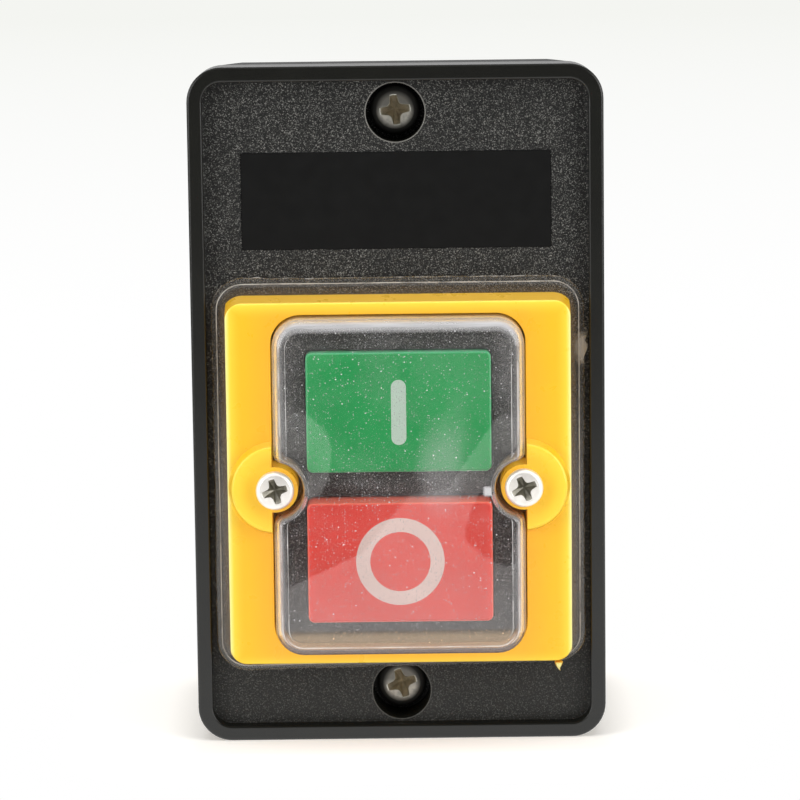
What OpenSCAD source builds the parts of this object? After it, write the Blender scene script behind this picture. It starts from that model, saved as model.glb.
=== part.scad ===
// Boxed start and stop pushbutton switch.
// Millimetres. X runs to the right, Y to the back and Z up, and the box stands on z = 0.
// Depths are written as heights forward of the rim of the cover, so the back is negative.

/* [Enclosure] */
// Width of the cover
cover_w = 66; // [65:0.5:70]
// Height of the cover
cover_h = 109; // [108:0.5:114]
// Radius of the cover's corners
corner_r = 5.5; // [4.5:0.5:7]
// Depth of the cover's skirt
cover_d = 9; // [8.5:0.5:9.5]
// Depth of the back box behind the skirt
box_d = 33; // [32:1:40]
// Width of the rim and thickness of the walls
wall = 2.4; // [2:0.1:2.6]
// Depth of the panel below the rim
panel_recess = 2.4; // [2:0.1:2.6]
// Thickness of the panel
panel_t = 2.4; // [2.2:0.1:2.6]
// How much narrower the box is at its back, on each side
box_draft = 1.73; // [1:0.01:2.2]

/* [Cover screws] */
// Distance between the two screw wells
well_pitch = 93.9; // [93:0.1:95]
// Diameter of a well's mouth
well_d = 9.4; // [9:0.1:9.6]
// Depth of the seat under the screw head
well_seat = 10; // [9.4:0.1:10.4]

/* [Wall and cable holes] */
// Distance between the wall holes from left to right
wall_hole_x = 44; // [40:1:46]
// Distance between the wall holes from bottom to top
wall_hole_z = 90; // [88:1:90]
// Diameter of the wall holes
wall_hole_d = 4.5; // [4:0.1:5]
// Distance between the two cable entries
entry_pitch = 32; // [30:1:34]
// Bore of the cable grommets
entry_bore = 9; // [6:0.5:10]

/* [Label plate] */
// Width of the bare plate
label_w = 49.3; // [40:0.1:52]
// Height of the bare plate
label_h = 15.4; // [12:0.1:16]
// Height of the plate's middle above the cover's middle
label_up = 32.95; // [32.7:0.05:33.2]

/* [Clear boot and bezel] */
// Width of the boot's dome
dome_w = 40; // [39.8:0.1:40.2]
// Height of the boot's dome
dome_h = 54.2; // [54:0.1:54.4]
// Rise of the dome in front of the rim
dome_rise = 8; // [7.8:0.1:9]
// Thickness of the boot
boot_t = 0.7; // [0.6:0.05:0.8]
// Width of the boot's flange
flange_w = 60; // [57:0.5:60.5]
// Height of the boot's flange
flange_h = 64.2; // [62.5:0.1:64.4]
// Width of the bezel
bezel_w = 54.9; // [54.9:0.1:55.4]
// Height of the bezel at its back
bezel_h = 59.9; // [59.5:0.1:60.2]
// Front of the bezel in front of the rim
bezel_rise = 3.3; // [3:0.1:3.6]
// Front of the bezel's ears in front of the rim
ear_rise = 5.6; // [5.2:0.1:5.8]
// Distance between the bezel screws
screw_pitch = 39.6; // [39.6:0.1:39.8]

/* [Buttons] */
// Width of a button cap
cap_w = 29.5; // [28.4:0.1:29.6]
// Height of a button cap
cap_h = 19.3; // [18.5:0.1:19.4]
// Distance between the middles of the caps
cap_pitch = 23.7; // [23.5:0.1:23.9]
// Front of a cap that is out, in front of the rim
cap_rise = 6.3; // [6:0.1:6.5]
// Travel of each button
travel = 3.4; // [2.6:0.1:3.4]

/* [Contacts] */
// Distance between the three poles
pole_pitch = 13.5; // [13.3:0.1:13.6]
// Width of the contact strips
strip_w = 5; // [4.4:0.1:5.2]

/* [Hidden] */
$fn = 64;

// Facets of the shapes inside a hull
hull_fn = 32;
// Overlap that makes a cut clean
eps = 0.05;
// Radial gap of parts that sit still in a hole
seat_gap = 0.02;
// Radial gap of the rocker on its pin
running_gap = 0.05;

// Places in the shared frame
total_d = dome_rise + cover_d + box_d;
rim_y = dome_rise - total_d / 2;
// Height of the switch's middle below the cover's middle
switch_drop = 12.3;
switch_z = cover_h / 2 - switch_drop;

// Cover
rim_edge = 0.45;
rim_inner_edge = 0.35;
cover_taper = 0.16;
panel_front = -panel_recess;
panel_back = -panel_recess - panel_t;
well_floor_t = 2.2;
well_wall = 1.3;
well_hole_d = 4.4;
cover_lap = 1.6;
ridge_t = 1.2;
ridge_h = 1.5;
label_t = 0.6;
label_sunk = 0.5;

// Back box
box_front = -cover_d;
box_back = -cover_d - box_d;
box_chamfer = 0.8;
cavity_back = box_back + wall;
boss_r = 4.6;
boss_front = -well_seat - well_floor_t;
boss_bore_back = -34;
boss_rib = 2.4;
wall_ring_r = 4.5;
wall_ring_h = 1.4;
entry_depth = -26;
entry_y = rim_y - entry_depth;
entry_pad_r = 12.2;
entry_pad_t = 4.4;
entry_recess_r = 10.5;
entry_recess_d = 1.6;
entry_hole_r = 8;
grommet_lift = 0.1;
grommet_lip_r = 9.4;
grommet_lip_t = 1.6;

// Screws
m4_r = 2;
m4_head_r = 4;
m4_head_h = 2.6;
m4_length = 20;
m35_r = 1.75;
m35_head_r = 3.05;
m35_head_h = 1.9;
m35_length = 16;
m35_hole_r = 1.95;
// How far the cross recesses are turned: bottom and top well, left and right ear
well_screw_turns = [18, 7];
ear_screw_turns = [16, 24];

// Boot. Its dome, flange and bezel sit a little above the middle of the switch.
dome_up = 0.3;
dome_r = 4.5;
dome_edge = 1.5;
notch_r = 4.5;
flange_t = 1.2;
flange_r = 5;
flange_up = 1.1;
flange_front = panel_front + flange_t;
bead_inset = 0.6;
bead_w = 0.5;
bead_h = 0.25;

// Middles of the round corners beside the dome's notches
corner_x = dome_w / 2 - dome_edge;
corner_y = sqrt(pow(notch_r + dome_edge, 2) - pow(screw_pitch / 2 - corner_x, 2));

// Bezel
bezel_up = 0.4;
bezel_r = 3.4;
bezel_draft = 0.7;
bezel_trim = 0.03;
bezel_edge = 0.35;
bezel_gap = 0.3;
ear_base_r = 7.5;
ear_front_r = 7;
ear_edge = 0.5;
ear_root = 0.5;
nose_r = 3.65;
core_w = 3.4;
core_h = 15;
core_d = 2.8;
core_start = 9.5;
core_x = (bezel_w + dome_w) / 4;

// Switch housing
collar_gap = 0.9;
collar_front = 0.7;
collar_t = 2.4;
plate_w = 52;
plate_h = 56;
plate_r = 3;
plate_back = -8;
body_w = 48;
body_h = 53;
body_r = 2.5;
body_wall = 2;
body_back = -24;
window_gap = 0.25;
window_r = 1.2;
tower_r = 3.5;
bush_r = 2.9;
bush_front = -5;
bush_back = -13;
pilot_front = -15;

// Buttons
cap_r = 1;
cap_edge = 0.45;
cap_d = 10.5;
cap_side = 1.5;
cap_top = 2.2;
cap_y = cap_pitch / 2;
lip_out = 1;
lip_h = 8;
lip_t = 2.3;
lip_up = 3;
stem_w = 10;
stem_h = 6;
stem_t = 1.6;
foot_w = 14;
foot_back = -16.3;
mark_t = 0.5;
bar_w = 2.4;
bar_h = 10.5;
ring_outer_r = 7.05;
ring_inner_r = 4.8;
ring_up = 0.2;

// Rocker
pivot = -13.5;
swing = asin(travel / 2 / cap_y);
pin_r = 1.5;
pin_length = 30;
hub_r = 3.4;
hub_w = 24.6;
arm_w = 16.6;
arm_t = 2.2;
nose_roll_r = 1.6;
trunnion_r = 1.2;
trunnion_w = 22;
tail_x = pole_pitch / 2;
tail_w = 3;
tail_t = 2.4;
tail_length = 12.3;
tail_tip_r = 0.8;
lug_w = 2.4;
lug_h = 6;
lug_back = pivot - 3;

// Contact carriage, drawn with the start button in
carriage_w = 40.8;
shelf_front = -17;
shelf_back = -18.5;
shelf_h = 7.2;
post_w = 1.6;
post_h = 5.2;
sill_front = -25.3;
sill_back = -26.6;
sill_h = 4;
jaw_x = 9.3;
jaw_w = 1.8;
jaw_front = -12.9;
jaw_slot_h = 0.3;
tongue_w = 0.9;
tongue_h = 2.4;
guide_w = 1.1;
guide_h = 1.3;
guide_gap = 0.3;
guide_front = -12;

// Contacts
tip_reach = 4.9;
tip_r = 1.6;
bridge_front = -23.3;
bridge_t = 0.8;
bridge_tip_t = 0.6;
contact_gap = 0.05;
fixed_tip_t = 0.7;
strip_front = bridge_front - bridge_t - bridge_tip_t - contact_gap - fixed_tip_t;
strip_t = 1;
spring_wire_r = 0.3;
spring_r = 2;
spring_turns = 4;

// Contact base
floor_front = -27.6;
floor_back = -30;
barrier_t = 1.4;
barrier_back = -35.5;
barrier_h = 9;
riser_y = 19.3;
pad_w = 7;
pad_end = 26.2;
terminal_y = 22.8;
clamp_w = 7.2;
clamp_t = 1;
terminal_head_r = 3.3;
terminal_head_h = 2.2;
terminal_length = 5.4;
nut_boss_r = 3.2;
nut_boss_front = -25.2;
base_screw_r = 1.5;
base_head_r = 2.7;
base_head_h = 2;
base_screw_length = 13;

// Snap springs
snap_w = 4;
snap_t = 0.35;
snap_wave = 3.64;
snap_crest = 0.3;
snap_lift = 1;
snap_foot = 7;
snap_end = 8.8;

// Colours
black = [0.13, 0.13, 0.12];
black_plate = [0.09, 0.09, 0.09];
rubber_black = [0.2, 0.2, 0.2];
clear = [0.8, 0.8, 0.78, 0.35];
yellow = [0.98, 0.72, 0.16];
green = [0.12, 0.6, 0.33];
red = [0.85, 0.22, 0.18];
white = [0.9, 0.9, 0.88];
steel = [0.75, 0.75, 0.76];
brass = [0.8, 0.65, 0.3];
copper = [0.8, 0.5, 0.32];
silver = [0.85, 0.85, 0.85];
cream = [0.85, 0.82, 0.74];

// Carries shapes from the front view, with z forward of the rim, to the middle of the cover
module on_cover() {
    translate([0, rim_y, cover_h / 2]) rotate([90, 0, 0]) children();
}

// The same for the middle of the switch
module on_switch() {
    translate([0, rim_y, switch_z]) rotate([90, 0, 0]) children();
}

// Copies at minus x and plus x
module left_right(x) {
    for (side = [-1, 1]) translate([side * x, 0, 0]) children();
}

// Copies at minus y and plus y
module down_up(y) {
    for (side = [-1, 1]) translate([0, side * y, 0]) children();
}

// Copies at the three poles
module each_pole() {
    for (pole = [-1:1]) translate([pole * pole_pitch, 0, 0]) children();
}

module rounded(w, h, r) {
    square([w - 2 * r, h], center = true);
    square([w, h - 2 * r], center = true);
    for (x = [-1, 1], y = [-1, 1]) translate([x * (w / 2 - r), y * (h / 2 - r)]) circle(r);
}

// Plate between two depths
module slab(back, front) {
    translate([0, 0, back]) linear_extrude(front - back) children();
}

// Block from its middle in the face and its two depths
module block(w, h, back, front) {
    slab(back, front) square([w, h], center = true);
}

module rod(r, back, front) {
    translate([0, 0, back]) cylinder(r = r, h = front - back);
}

// Carries a profile round a rounded rectangle.
// The profile's x is the distance out from the outline, and its y is the depth.
module round_outline(w, h, r) {
    for (turn = [0:3]) {
        upright = turn % 2 == 0;
        reach = (upright ? w : h) / 2;
        run = (upright ? h : w) - 2 * r;
        rotate(90 * turn) {
            translate([reach, 0, 0]) rotate([90, 0, 0]) linear_extrude(run, center = true) children();
            translate([reach - r, run / 2, 0]) rotate_extrude(angle = 90) translate([r, 0]) children();
        }
    }
}

// Rounded block whose front edge is rounded too, and whose sides may slope
module soft_block(w, h, r, back, front, edge, draft = 0) {
    inset = draft + edge;
    slab(back, front) rounded(w - 2 * inset, h - 2 * inset, r - inset);
    round_outline(w, h, r) {
        polygon([
            [-inset - eps, back],
            [0, back],
            [-draft, front - edge],
            [-inset, front],
            [-inset - eps, front]
        ]);
        translate([-inset, front - edge]) circle(edge, $fn = 24);
    }
}

// Round cutter that flares at the front, for a notch whose edge is rounded
module flared_notch(r, back, front, edge) {
    translate([0, 0, back]) rotate_extrude() {
        square([r, front - back + 1]);
        difference() {
            translate([0, front - back - edge]) square([r + edge, edge + 1]);
            translate([r + edge, front - back - edge]) circle(edge, $fn = 24);
        }
    }
}

// Region between a notch's middle and the middles of the two round corners beside it
module notch_mouth() {
    polygon([
        [screw_pitch / 2, 0],
        [corner_x, corner_y],
        [dome_w, corner_y],
        [dome_w, -corner_y],
        [corner_x, -corner_y]
    ]);
}

// Waisted outline of the boot, the cover's window and the switch's collar.
// A positive growth is outwards.
module waist(growth) {
    difference() {
        translate([0, dome_up]) rounded(dome_w + 2 * growth, dome_h + 2 * growth, dome_r + growth);
        for (side = [0, 1]) mirror([side, 0]) {
            translate([screw_pitch / 2, 0]) circle(notch_r - growth);
            difference() {
                notch_mouth();
                translate([corner_x, 0, 0]) down_up(corner_y) circle(dome_edge + growth);
            }
        }
    }
}

// The same as a block with a rounded front edge
module waisted_dome(growth, back, front) {
    edge = dome_edge + growth;
    difference() {
        translate([0, dome_up, 0])
            soft_block(dome_w + 2 * growth, dome_h + 2 * growth, dome_r + growth, back, front, edge);
        for (side = [0, 1]) mirror([side, 0]) {
            translate([screw_pitch / 2, 0, 0]) flared_notch(notch_r - growth, back - eps, front, edge);
            difference() {
                slab(back - eps, front + eps) notch_mouth();
                translate([corner_x, 0, 0]) down_up(corner_y) {
                    rod(edge, back - 2 * eps, front - edge);
                    translate([0, 0, front - edge]) sphere(edge);
                }
            }
        }
    }
}

// How far the drafted sides and top of the box lie inside the cover's outline
function side_inset(depth) = cover_taper + box_draft * (box_front - depth) / box_d;

// Thin outline of the box at one depth. Its bottom has no draft, so the box stands flat.
module box_slice(depth, inset) {
    side = side_inset(depth) + inset;
    translate([0, (inset - side) / 2, depth])
        linear_extrude(eps)
        rounded(cover_w - 2 * side, cover_h - side - inset, corner_r, $fn = hull_fn);
}

module drafted_block(back, front, inset, chamfer) {
    hull() {
        box_slice(front - eps, inset);
        box_slice(back + chamfer, inset);
        box_slice(back, inset + chamfer);
    }
}

// Pan-head screw with its head's seat at z = 0 and a cross recess
module pan_screw(r, head_r, head_h, length) {
    recess_r = head_r * 0.62;
    recess_w = head_r * 0.22;
    difference() {
        union() {
            rotate_extrude() difference() {
                union() {
                    square([head_r, head_h * 0.6]);
                    square([head_r - head_h * 0.4, head_h]);
                    translate([head_r - head_h * 0.4, head_h * 0.6]) circle(head_h * 0.4, $fn = 24);
                }
                translate([-2 * head_r, -head_h]) square([2 * head_r, 3 * head_h]);
            }
            rod(r, -length, 0);
        }
        for (turn = [0, 90]) rotate(turn) block(2 * recess_r, 2 * recess_w, head_h * 0.3, head_h + eps);
    }
}

// Coil spring with round wire, along z from 0
function coil_point(turn, side, r, wire_r, pitch) =
    [
        (r + wire_r * cos(side)) * cos(turn),
        (r + wire_r * cos(side)) * sin(turn),
        wire_r * sin(side) + wire_r + pitch * turn / 360
    ];

module coil_spring(r, wire_r, length, turns) {
    sides = 6;
    rings = 12 * turns;
    pitch = (length - 2 * wire_r) / turns;
    points = [
        for (i = [0:rings], j = [0:sides - 1])
            coil_point(i * 360 / 12, j * 360 / sides, r, wire_r, pitch)
    ];
    skin = [
        for (i = [0:rings - 1], j = [0:sides - 1])
            let (k = (j + 1) % sides)
            [i * sides + j, (i + 1) * sides + j, (i + 1) * sides + k, i * sides + k]
    ];
    start = [[for (j = [0:sides - 1]) j]];
    end = [[for (j = [sides - 1:-1:0]) rings * sides + j]];
    polyhedron(points, concat(skin, start, end));
}

module well_places() {
    down_up(well_pitch / 2) children();
}

module wall_hole_places() {
    left_right(wall_hole_x / 2) down_up(wall_hole_z / 2) children();
}

module entry_places() {
    left_right(entry_pitch / 2) translate([0, entry_y, 0]) children();
}

// Enclosure

module back_box() {
    color(black) {
        difference() {
            union() {
                on_cover() {
                    difference() {
                        drafted_block(box_back, box_front, 0, box_chamfer);
                        drafted_block(cavity_back, box_front + 1, wall, box_chamfer);
                    }
                    box_lap();
                    intersection() {
                        drafted_block(box_back, box_front, eps, box_chamfer);
                        well_places() cover_screw_boss();
                    }
                    wall_hole_places() rod(wall_ring_r, cavity_back - eps, cavity_back + wall_ring_h);
                }
                entry_places() cylinder(r = entry_pad_r, h = entry_pad_t);
            }
            on_cover() {
                well_places() {
                    rod(well_d / 2 + well_wall + 0.3, boss_front, 0);
                    rod(m4_r + seat_gap, boss_bore_back, 0);
                }
                wall_hole_places() rod(wall_hole_d / 2, box_back - eps, 0);
            }
            entry_places() {
                translate([0, 0, -eps]) cylinder(r = entry_recess_r, h = entry_recess_d + eps);
                cylinder(r = entry_hole_r + seat_gap, h = entry_pad_t + eps);
            }
        }
    }
}

// Thin wall of the box that laps inside the cover's skirt
module box_lap() {
    outer = wall + 0.25;
    slab(box_front - 2, box_front + cover_lap) difference() {
        rounded(cover_w - 2 * outer, cover_h - 2 * outer, corner_r - wall);
        rounded(cover_w - 2 * outer - 2.4, cover_h - 2 * outer - 2.4, corner_r - wall - 1.2);
    }
}

// Boss for a cover screw, with ribs that tie it to the wall
module cover_screw_boss() {
    rod(boss_r, cavity_back - eps, boss_front);
    block(boss_rib, well_d + 2 * wall, cavity_back - eps, boss_front - 4);
    block(well_d + 2 * wall + 6, boss_rib, cavity_back - eps, cavity_back + 6);
}

module cable_grommets() {
    color(rubber_black) entry_places() translate([0, 0, grommet_lift]) rotate_extrude() {
        bore = entry_bore / 2;
        lower = entry_recess_d - grommet_lift;
        upper = entry_pad_t - grommet_lift;
        translate([bore, 0]) square([entry_recess_r - 0.2 - bore, lower]);
        translate([bore, 0]) square([entry_hole_r - bore, upper]);
        translate([bore, upper]) square([grommet_lip_r - bore, grommet_lip_t]);
    }
}

// Section of the cover's skirt, with its rounded rim
module skirt_section() {
    polygon([
        [-wall, -cover_d],
        [-cover_taper, -cover_d],
        [0, -rim_edge],
        [-rim_edge, 0],
        [-wall + rim_inner_edge, 0],
        [-wall, -rim_inner_edge]
    ]);
    translate([-rim_edge, -rim_edge]) circle(rim_edge, $fn = 24);
    translate([-wall + rim_inner_edge, -rim_inner_edge]) circle(rim_inner_edge, $fn = 24);
}

module front_cover() {
    color(black) on_cover() difference() {
        union() {
            round_outline(cover_w, cover_h, corner_r) skirt_section();
            slab(panel_back, panel_front)
                rounded(cover_w - 2 * wall + 0.2, cover_h - 2 * wall + 0.2, corner_r - wall);
            intersection() {
                well_places() rod(well_d / 2 + well_wall, boss_front, panel_front);
                slab(boss_front, 0) rounded(cover_w - wall, cover_h - wall, corner_r - wall / 2);
            }
            translate([0, -switch_drop, 0]) slab(panel_back - ridge_h, panel_back + eps) difference() {
                rounded(plate_w + 0.6 + 2 * ridge_t, plate_h + 0.6 + 2 * ridge_t, plate_r + ridge_t);
                rounded(plate_w + 0.6, plate_h + 0.6, plate_r + 0.3);
            }
        }
        well_places() {
            rod(well_d / 2, -well_seat, eps);
            rod(well_hole_d / 2, boss_front - eps, 0);
        }
        translate([0, label_up, 0])
            block(label_w + 0.1, label_h + 0.1, panel_front - label_sunk, panel_front + eps);
        translate([0, -switch_drop, 0]) {
            slab(panel_back - eps, panel_front + eps) waist(-boot_t);
            left_right(screw_pitch / 2) rod(m35_hole_r, panel_back - eps, panel_front + eps);
        }
    }
}

module label_plate() {
    color(black_plate) on_cover() translate([0, label_up, 0])
        block(label_w, label_h, panel_front - label_sunk, panel_front - label_sunk + label_t);
}

module cover_screws() {
    color(steel) on_cover() for (i = [0, 1])
        translate([0, (i - 0.5) * well_pitch, -well_seat])
            rotate(well_screw_turns[i]) pan_screw(m4_r, m4_head_r, m4_head_h, m4_length);
}

// Boot and bezel

module clear_boot() {
    color(clear) on_switch() difference() {
        union() {
            translate([0, flange_up, 0]) {
                slab(panel_front, flange_front) rounded(flange_w, flange_h, flange_r);
                boot_bead();
            }
            waisted_dome(0, panel_front, dome_rise);
        }
        waisted_dome(-boot_t, panel_front - eps, dome_rise - boot_t);
        left_right(screw_pitch / 2) rod(m35_hole_r, panel_front - eps, flange_front + eps);
    }
}

// Raised bead a little inside the flange's edge
module boot_bead() {
    w = flange_w - 2 * bead_inset;
    h = flange_h - 2 * bead_inset;
    round_outline(w, h, flange_r - bead_inset)
        translate([-bead_w, flange_front - eps]) square([bead_w, bead_h + eps]);
}

// Frame of the bezel, which slopes at its top and bottom and is upright at its sides
module bezel_block() {
    intersection() {
        translate([0, bezel_up, 0]) soft_block(
            bezel_w + 2 * (bezel_draft + bezel_trim), bezel_h, bezel_r,
            flange_front, bezel_rise, bezel_edge, bezel_draft
        );
        block(bezel_w, bezel_h + 2, flange_front - eps, bezel_rise + eps);
    }
}

module bezel() {
    color(yellow) on_switch() {
        difference() {
            bezel_block();
            bezel_opening(flange_front - eps, bezel_rise + eps);
            left_right(core_x) down_up(core_h / 2 + core_start)
                block(core_w, core_h, flange_front - eps, flange_front + core_d);
            left_right(screw_pitch / 2) rod(m35_hole_r, flange_front - eps, ear_rise);
        }
        difference() {
            union() {
                difference() {
                    left_right(screw_pitch / 2) ear_disc();
                    bezel_opening(bezel_rise - ear_root - eps, ear_rise + 1);
                }
                left_right(screw_pitch / 2) rod(nose_r, flange_front, ear_rise);
            }
            left_right(screw_pitch / 2) rod(m35_hole_r, flange_front - eps, ear_rise + eps);
        }
    }
}

module bezel_opening(back, front) {
    translate([0, dome_up, 0]) slab(back, front)
        rounded(dome_w + 2 * bezel_gap, dome_h + 2 * bezel_gap, dome_r + bezel_gap);
}

// Round pad of an ear, with sloping sides and a rounded front edge
module ear_disc() {
    rotate_extrude() {
        polygon([
            [0, bezel_rise - ear_root],
            [ear_base_r, bezel_rise - ear_root],
            [ear_base_r, bezel_rise],
            [ear_front_r, ear_rise - ear_edge],
            [ear_front_r - ear_edge, ear_rise],
            [0, ear_rise]
        ]);
        translate([ear_front_r - ear_edge, ear_rise - ear_edge]) circle(ear_edge, $fn = 24);
    }
}

module bezel_screws() {
    color(steel) on_switch() for (i = [0, 1])
        translate([(i - 0.5) * screw_pitch, 0, ear_rise])
            rotate(ear_screw_turns[i]) pan_screw(m35_r, m35_head_r, m35_head_h, m35_length);
}

// Switch housing

module switch_housing() {
    color(black) on_switch() difference() {
        union() {
            slab(panel_back - 1, collar_front) waist(-collar_gap);
            slab(plate_back, panel_back) rounded(plate_w, plate_h, plate_r);
            difference() {
                slab(body_back, plate_back + eps) rounded(body_w, body_h, body_r);
                slab(body_back - eps, plate_back)
                    rounded(body_w - 2 * body_wall, body_h - 2 * body_wall, body_r - body_wall / 2);
            }
            left_right(screw_pitch / 2) rod(tower_r, body_back, plate_back + eps);
            left_right(hub_w / 2 + 0.3 + lug_w / 2) block(lug_w, lug_h, lug_back, plate_back + eps);
            carriage_guides();
        }
        down_up(cap_y) slab(plate_back - eps, collar_front + eps)
            rounded(cap_w + 2 * window_gap, cap_h + 2 * window_gap, window_r);
        left_right(cap_w / 2) down_up(cap_y + lip_up)
            block(2 * lip_out + 0.8, lip_h + 1, plate_back - eps, collar_front - collar_t);
        translate([0, 0, pivot]) rotate([0, 90, 0])
            cylinder(r = pin_r + seat_gap, h = pin_length + 2, center = true);
        left_right(screw_pitch / 2) {
            rod(m35_hole_r, bush_back - 1, panel_back + eps);
            rod(bush_r + seat_gap, bush_back, panel_back + eps);
            rod(base_screw_r + seat_gap, body_back - eps, pilot_front);
        }
    }
}

// Ribs on the inner sides that guide the carriage's tongues
module carriage_guides() {
    reach = body_w / 2 - body_wall;
    rib_y = tongue_h / 2 + guide_gap + guide_h / 2;
    translate([0, cap_y, 0]) left_right(reach - guide_w / 2) down_up(rib_y)
        block(guide_w + eps, guide_h, body_back, guide_front);
}

module threaded_bushes() {
    color(brass) on_switch() left_right(screw_pitch / 2) difference() {
        rod(bush_r, bush_back, bush_front);
        rod(m35_r + seat_gap, bush_back - eps, bush_front + eps);
    }
}

// Buttons

// Cap, stem and foot with the cap's front at z = 0
module button_body() {
    difference() {
        soft_block(cap_w, cap_h, cap_r, -cap_d, 0, cap_edge);
        slab(-cap_d - eps, -cap_top)
            rounded(cap_w - 2 * cap_side, cap_h - 2 * cap_side, cap_r / 2);
    }
    left_right(cap_w / 2 + lip_out / 2 - eps) translate([0, lip_up, 0])
        block(lip_out + eps, lip_h, -cap_d, -cap_d + lip_t);
    left_right((stem_w - stem_t) / 2) block(stem_t, stem_h, foot_back, -cap_top + eps);
    block(stem_w, stem_t, foot_back, -cap_top + eps);
    block(foot_w, stem_h, foot_back, foot_back + stem_t);
}

module bar_outline() {
    square([bar_w, bar_h - bar_w], center = true);
    down_up((bar_h - bar_w) / 2) circle(bar_w / 2);
}

module ring_outline() {
    translate([0, ring_up]) difference() {
        circle(ring_outer_r);
        circle(ring_inner_r);
    }
}

// The start button is in and the stop button is out
module at_start() {
    on_switch() translate([0, cap_y, cap_rise - travel]) children();
}

module at_stop() {
    on_switch() translate([0, -cap_y, cap_rise]) children();
}

module start_button() {
    color(green) at_start() difference() {
        button_body();
        slab(-mark_t, eps) bar_outline();
    }
}

module start_mark() {
    color(white) at_start() slab(-mark_t, 0) bar_outline();
}

module stop_button() {
    color(red) at_stop() difference() {
        mirror([0, 1, 0]) button_body();
        slab(-mark_t, eps) ring_outline();
    }
}

module stop_mark() {
    color(white) at_stop() slab(-mark_t, 0) ring_outline();
}

// Mechanism

// Rod along x
module cross_rod(r, w) {
    rotate([0, 90, 0]) cylinder(r = r, h = w, center = true);
}

module rocker() {
    color(cream) on_switch() translate([0, 0, pivot]) rotate([-swing, 0, 0]) difference() {
        union() {
            cross_rod(hub_r, hub_w);
            block(arm_w, cap_pitch, -arm_t / 2, arm_t / 2);
            down_up(cap_y) cross_rod(nose_roll_r, arm_w);
            translate([0, cap_y, 0]) cross_rod(trunnion_r, trunnion_w);
            left_right(tail_x) {
                block(tail_w, tail_t, -tail_length + 2, 0);
                block(tail_w, 2 * tail_tip_r, -tail_length, 0);
                translate([0, 0, -tail_length]) cross_rod(tail_tip_r, tail_w);
            }
        }
        cross_rod(pin_r + running_gap, hub_w + 1);
    }
}

module rocker_pin() {
    color(steel) on_switch() translate([0, 0, pivot]) cross_rod(pin_r, pin_length);
}

// Height of a snap spring over the floor: a crest between two valleys, then sloping legs
function snap_rise(y) =
    abs(y) <= snap_wave
        ? snap_lift + snap_crest * cos(360 * y / snap_wave)
        : max(0, (snap_lift + snap_crest) * (snap_foot - abs(y)) / (snap_foot - snap_wave));

module snap_springs() {
    step = 0.26;
    run = [for (y = [-snap_end:step:snap_end]) y];
    under = [for (y = run) [y, snap_rise(y)]];
    over = [for (i = [len(run) - 1:-1:0]) [run[i], snap_rise(run[i]) + snap_t]];
    color(steel) on_switch() left_right(tail_x) translate([0, 0, floor_front])
        rotate([90, 0, 90]) linear_extrude(snap_w, center = true) polygon(concat(under, over));
}

module contact_carriage() {
    color(cream) on_switch() translate([0, cap_y, 0]) difference() {
        union() {
            block(carriage_w, shelf_h, shelf_back, shelf_front);
            block(carriage_w, sill_h, sill_back, sill_front);
            for (x = [-carriage_w / 2 + post_w / 2, -tail_x, tail_x, carriage_w / 2 - post_w / 2])
                translate([x, 0, 0]) block(post_w, post_h, sill_back + 0.3, shelf_back + eps);
            left_right(carriage_w / 2 + tongue_w / 2 - eps)
                block(tongue_w + eps, tongue_h, sill_back + 0.3, shelf_front);
            left_right(jaw_x + jaw_w / 2) block(jaw_w, post_h, shelf_front - eps, jaw_front);
            each_pole() rod(spring_r - spring_wire_r - 0.3, shelf_back - 1.2, shelf_back + eps);
        }
        translate([0, 0, pivot - travel / 2]) down_up(jaw_slot_h)
            cross_rod(trunnion_r + 0.12, 2 * (jaw_x + jaw_w) + 2);
        translate([0, 0, pivot - travel / 2])
            block(2 * (jaw_x + jaw_w) + 2, 2 * jaw_slot_h, -trunnion_r - 0.12, trunnion_r + 0.12);
    }
}

module contact_bridges() {
    color(copper) on_switch() translate([0, cap_y, 0]) each_pole()
        block(strip_w, 2 * (tip_reach + tip_r), bridge_front - bridge_t, bridge_front);
}

module bridge_tips() {
    back = bridge_front - bridge_t - bridge_tip_t;
    color(silver) on_switch() translate([0, cap_y, 0]) each_pole() down_up(tip_reach)
        rod(tip_r, back, bridge_front - bridge_t);
}

module contact_springs() {
    length = shelf_back - bridge_front - 0.04;
    color(steel) on_switch() translate([0, cap_y, bridge_front + 0.02]) each_pole()
        coil_spring(spring_r, spring_wire_r, length, spring_turns);
}

// Contact base

module contact_base() {
    inner_w = body_w - 2 * body_wall;
    inner_h = body_h - 2 * body_wall;
    color(black) on_switch() difference() {
        union() {
            slab(floor_back, floor_front) rounded(body_w, body_h, body_r);
            slab(floor_front - eps, body_back) difference() {
                rounded(body_w, body_h, body_r);
                rounded(inner_w, inner_h, body_r - body_wall / 2);
            }
            left_right(screw_pitch / 2) rod(tower_r, floor_front - eps, body_back);
            each_pole() {
                down_up(terminal_y) rod(nut_boss_r, floor_front - eps, nut_boss_front);
                strip_ledge(cap_y + tip_reach - tip_r, riser_y);
                strip_ledge(-riser_y, cap_y - tip_reach + tip_r);
            }
            barriers();
        }
        left_right(screw_pitch / 2) rod(base_screw_r + seat_gap, floor_back - eps, body_back + eps);
        each_pole() {
            down_up(riser_y) block(strip_w + 0.2, strip_t + 0.2, floor_back - eps, body_back + eps);
            down_up(terminal_y) rod(m35_r + 0.25, floor_back - eps, nut_boss_front - 0.8);
        }
    }
}

// Low rib under a contact strip
module strip_ledge(low, high) {
    translate([0, (low + high) / 2, 0])
        block(strip_w - 1, high - low, floor_front - eps, strip_front - strip_t);
}

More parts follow.
